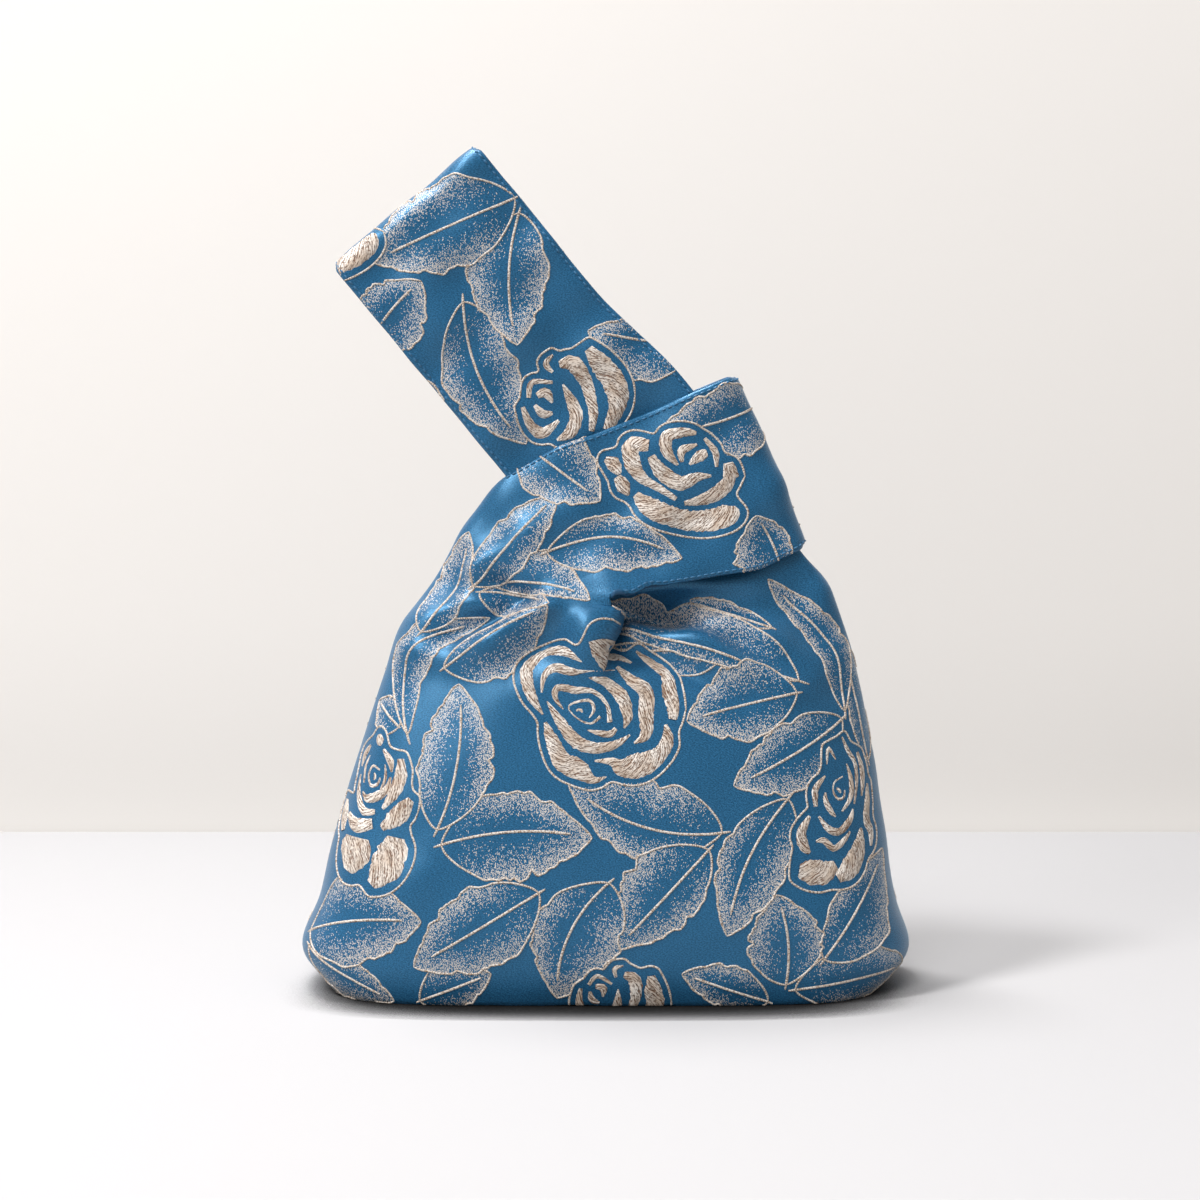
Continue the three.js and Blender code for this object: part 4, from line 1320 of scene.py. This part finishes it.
def brocade_material():
    """Blue satin ground, with cream dots inside the leaves."""
    material = plain_material("brocade", BLUE, BROCADE_ROUGHNESS, BROCADE_LOOK)
    tree = material.node_tree
    grain = spread_range(tree, noise(tree, "cloth", GRAIN_SCALE, 2.0, GRAIN_TURN), *GRAIN_RANGE)
    ground = mix_colour(tree, grain, BLUE_DARK, BLUE)
    inputs = {"Vector": thread_coordinates(tree, "cloth", DOT_SCALE, DOT_TURN), "Scale": 1.0}
    cells = add_node(tree, "ShaderNodeTexVoronoi", inputs).outputs
    lot = add_node(tree, "ShaderNodeSeparateColor", {0: cells["Color"]}).outputs[0]
    edge = add_node(tree, "ShaderNodeAttribute", attribute_name="leaf_edge").outputs["Fac"]
    shade = add_node(tree, "ShaderNodeAttribute", attribute_name="leaf_shade").outputs["Fac"]
    dot = math_node(tree, "LESS_THAN", cells["Distance"], DOT_REACH)
    chosen = math_node(tree, "LESS_THAN", lot, math_node(tree, "MULTIPLY", shade, DOT_SHARE))
    in_leaf = math_node(tree, "GREATER_THAN", edge, 0.0)
    dots = math_node(tree, "MULTIPLY", math_node(tree, "MULTIPLY", dot, chosen), in_leaf)
    height = math_node(tree, "ADD", math_node(tree, "MULTIPLY", grain, GRAIN_BUMP_SHARE), dots)
    return colour_and_bump(material, mix_colour(tree, dots, ground, DOT_CREAM), height, *CLOTH_BUMP)


def rope_material():
    """Cream cord, twisted."""
    material = plain_material("cord_thread", CREAM, CORD_ROUGHNESS)
    tree = material.node_tree
    twist = spread_range(tree, noise(tree, "thread", TWIST_SCALE, 1.0, TWIST_TURN), *TWIST_RANGE)
    return colour_and_bump(material, mix_colour(tree, twist, CORD_DARK, ROPE_CREAM), twist, *CORD_BUMP)


def petal_material():
    """Cream satin stitch: bright threads with dark gaps between them, in lighter and darker patches that are
    partly the thread's own tone and partly painted sheen.
    """
    material = plain_material("petal_thread", CREAM, PETAL_ROUGHNESS, PETAL_LOOK)
    tree = material.node_tree
    lines = math_node(tree, "MULTIPLY", noise(tree, "thread", THREAD_SCALE, 2.0), 1 - SPECK_SHARE)
    specks = math_node(tree, "MULTIPLY", noise(tree, "thread", SPECK_SCALE, 1.0), SPECK_SHARE)
    thread = spread_range(tree, math_node(tree, "ADD", lines, specks), *THREAD_RANGE)
    # painted sheen: broad patches where the petals turn paler
    sheen_patches = spread_range(tree, noise(tree, "thread", SHEEN_PATCH_SCALE, 2.0), *SHEEN_PATCH_RANGE)
    body = mix_colour(tree, sheen_patches, CREAM, PALE_THREAD_AND_SHEEN)
    return colour_and_bump(material, mix_colour(tree, thread, GOLD, body), thread, *PETAL_BUMP)


# Stage: colours as the camera sees them and in the light that they throw back, the ways in which painted
# shade darkens them where something stands near, how far away that painted shade begins, in metres, and how
# strong it is
WALL_LINE = 832  # the row of pixels where the photograph's floor meets its wall
WALL_GAP = 0.03  # metres from the floor's far edge to the wall
STAGE_SIZE = 6  # metres
AO_SAMPLES = 8
FLOOR = (0.547, 0.547, 0.559)
FLOOR_BOUNCED = (0.22, 0.22, 0.22)
FLOOR_PAINTED_SHADE_WAYS = [(-0.85, 0.5, 0.1), (0.85, 0.5, 0.1)]  # the floor in front of the bag has it in both of these
# painted contact shadow on the floor around the bag's base
FLOOR_PAINTED_SHADE_REACH = 0.025
FLOOR_PAINTED_SHADE_STRENGTH = 8.5
WALL = (0.87, 0.847, 0.823)
WALL_BOUNCED = (0.3, 0.29, 0.28)
# painted shade on the wall, darker towards its foot where the floor comes near
WALL_PAINTED_SHADE_WAYS = [(0, -1, 0)]
WALL_PAINTED_SHADE_REACH = 0.12
WALL_PAINTED_SHADE_STRENGTH = 0.15

# Light: where each lamp is and what it is aimed at, in metres, how wide it is, and its power in watts
WORLD_LIGHT = (0.41, 0.4, 0.388)
WORLD_SHOWN = (0.88, 0.87, 0.86)  # seen only from the sides that the photograph doesn't show
LAMP_COLOUR = (1.0, 0.98, 0.97)
LAMPS = {
    "key": ((-2.7, -1.4, 4.2), (0, 0, 0.14), 0.9, 140),
    "fill": ((-0.5, -2.5, 2.9), (0, 0, 0.14), 2.0, 64),
    "near": ((-0.8, -0.62, 0.85), (-0.03, -0.05, 0.2), 0.35, 3.6),
    "top": ((-0.35, 0.28, 1.3), (0.02, -0.08, 0), 0.4, 12),
}
NOT_MIRRORED = "fill"  # the lamp that the satin doesn't reflect


def stage_material(name, shown, bounced, ways, reach, depth):
    """A plain surface, paler to the camera than in the light that it throws back. It carries painted shade:
    its colour is darker where something stands near it in all of the given ways."""
    material = plain_material(name, shown, 1.0, DULL_LOOK)
    tree = material.node_tree
    open_sky = 0.0
    for way in ways:
        normal = add_node(tree, "ShaderNodeCombineXYZ", dict(enumerate(way))).outputs[0]
        inputs = {"Distance": reach, "Normal": normal}
        seen_sky = add_node(tree, "ShaderNodeAmbientOcclusion", inputs, samples=AO_SAMPLES).outputs["AO"]
        open_sky = math_node(tree, "MAXIMUM", seen_sky, open_sky)
    # painted shade: the shown colour goes towards black where something near closes off the given ways
    near = mix_colour(tree, math_node(tree, "POWER", open_sky, depth), (0.0, 0.0, 0.0), shown)
    colour = mix_colour(tree, looked_at(tree), bounced, near)
    tree.links.new(colour, tree.nodes["Principled BSDF"].inputs["Base Color"])
    return material


def looked_at(tree):
    """1 where a ray of the camera, of a reflection or through something clear arrives."""
    path = add_node(tree, "ShaderNodeLightPath").outputs
    direct = math_node(tree, "MAXIMUM", path["Is Camera Ray"], path["Is Glossy Ray"])
    return math_node(tree, "MAXIMUM", direct, path["Is Transmission Ray"])


def clear_from_behind(material):
    tree = material.node_tree
    back = add_node(tree, "ShaderNodeNewGeometry").outputs["Backfacing"]
    mix = add_node(tree, "ShaderNodeMixShader", {0: back})
    tree.links.new(tree.nodes["Principled BSDF"].outputs[0], mix.inputs[1])
    tree.links.new(add_node(tree, "ShaderNodeBsdfTransparent").outputs[0], mix.inputs[2])
    tree.links.new(mix.outputs[0], tree.nodes["Material Output"].inputs["Surface"])


def stage_plane(name, y, turn, material):
    bpy.ops.mesh.primitive_plane_add(size=STAGE_SIZE, location=(0, y, 0), rotation=(turn, 0, 0))
    plane = bpy.context.object
    plane.name = name
    plane.data.materials.append(material)
    return plane


def make_stage():
    ray = pixel_ray((PHOTO_SIDE / 2, WALL_LINE))
    eye = camera_place()
    behind = (eye - ray * eye[2] / ray[2])[1] * MM
    floor_look = stage_material("floor", FLOOR, FLOOR_BOUNCED, FLOOR_PAINTED_SHADE_WAYS, FLOOR_PAINTED_SHADE_REACH, FLOOR_PAINTED_SHADE_STRENGTH)
    floor = stage_plane("floor", behind - STAGE_SIZE / 2, 0, floor_look)
    wall_look = stage_material("wall", WALL, WALL_BOUNCED, WALL_PAINTED_SHADE_WAYS, WALL_PAINTED_SHADE_REACH, WALL_PAINTED_SHADE_STRENGTH)
    clear_from_behind(wall_look)
    wall = stage_plane("wall", behind + WALL_GAP, math.pi / 2, wall_look)


def aimed(name, data, place, aim):
    """A new lamp or camera at a place, aimed at another."""
    obj = bpy.data.objects.new(name, data)
    bpy.context.scene.collection.objects.link(obj)
    obj.location = place
    obj.rotation_euler = (Vector(aim) - Vector(place)).to_track_quat("-Z", "Y").to_euler()
    return obj


def make_light():
    world = bpy.data.worlds.new("world")
    bpy.context.scene.world = world
    world.use_nodes = True
    tree = world.node_tree
    camera = add_node(tree, "ShaderNodeLightPath").outputs["Is Camera Ray"]
    colour = mix_colour(tree, camera, WORLD_LIGHT, WORLD_SHOWN)
    tree.links.new(colour, tree.nodes["Background"].inputs["Color"])
    for name, (place, aim, size, power) in LAMPS.items():
        data = bpy.data.lights.new(name, "AREA")
        data.shape = "DISK"
        data.size = size
        data.energy = power
        data.color = LAMP_COLOUR
        aimed(name, data, place, aim).visible_glossy = name != NOT_MIRRORED


def make_camera():
    data = bpy.data.cameras.new("camera")
    data.lens = LENS
    data.sensor_width = SENSOR
    bpy.context.scene.camera = aimed("camera", data, camera_place() * MM, CAMERA_AIM * MM)


def finish_piece(obj, material):
    obj.data.materials.append(material)
    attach(obj, "root")
    return obj


RIM_SHARE = 0.2  # how much of its outer half thickness the cloth has at its rim


def make_panel(side, cloth, motifs, materials):
    back = side == "back"
    half = OUTER_THICK / 2
    inside = np.full(len(cloth.points), -half)
    outside = np.full(len(cloth.points), half)
    outside[cloth.rim.ravel()] = half * RIM_SHARE
    outer = thick_mesh(f"{side}_cloth", cloth, inside, outside, back)
    edge, shade = leaf_marks(cloth, motifs)
    put_attribute(outer, "cloth", "FLOAT_VECTOR", np.concatenate([cloth.spread, cloth.spread]))
    put_attribute(outer, "leaf_edge", "FLOAT", np.concatenate([edge, edge]))
    put_attribute(outer, "leaf_shade", "FLOAT", np.concatenate([shade, shade]))
    finish_piece(outer, materials["cloth"])
    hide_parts(f"outer_{side}_panel")

    cords, petals, seams = Overlay(cloth), Overlay(cloth), Overlay(cloth)
    for k, motif in enumerate(motifs):
        for line, width in motif.ropes():
            cords.rope(motif, line, width, motifs[:k])
        for stroke in getattr(motif, "strokes", []):
            petals.petal(motif, stroke)
    stitches(cloth, seams)
    extras = [
        finish_piece(cords.mesh(f"{side}_cord_pattern", back), materials["cord"]),
        finish_piece(petals.mesh(f"{side}_petals", back), materials["petal"]),
        finish_piece(seams.mesh(f"{side}_topstitching", back), materials["stitch"]),
    ]

    near = inside - LAYER_GAP
    lining = thick_mesh(f"{side}_lining_cloth", cloth, near - LINING_THICK, near, back)
    finish_piece(lining, materials["lining"])
    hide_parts(f"{side}_lining")


def main():
    bpy.context.scene.view_settings.view_transform = "Standard"
    make_camera()
    make_stage()
    make_light()
    cloth = Cloth()
    materials = {
        "cloth": brocade_material(),
        "cord": rope_material(),
        "petal": petal_material(),
        "stitch": plain_material("stitch_thread", STITCH_BLUE, STITCH_ROUGHNESS),
        "lining": plain_material("lining", LINING_BLUE, LINING_ROUGHNESS),
    }
    make_panel("front", cloth, front_motifs(cloth), materials)
    make_panel("back", cloth, back_motifs(cloth), materials)


main()
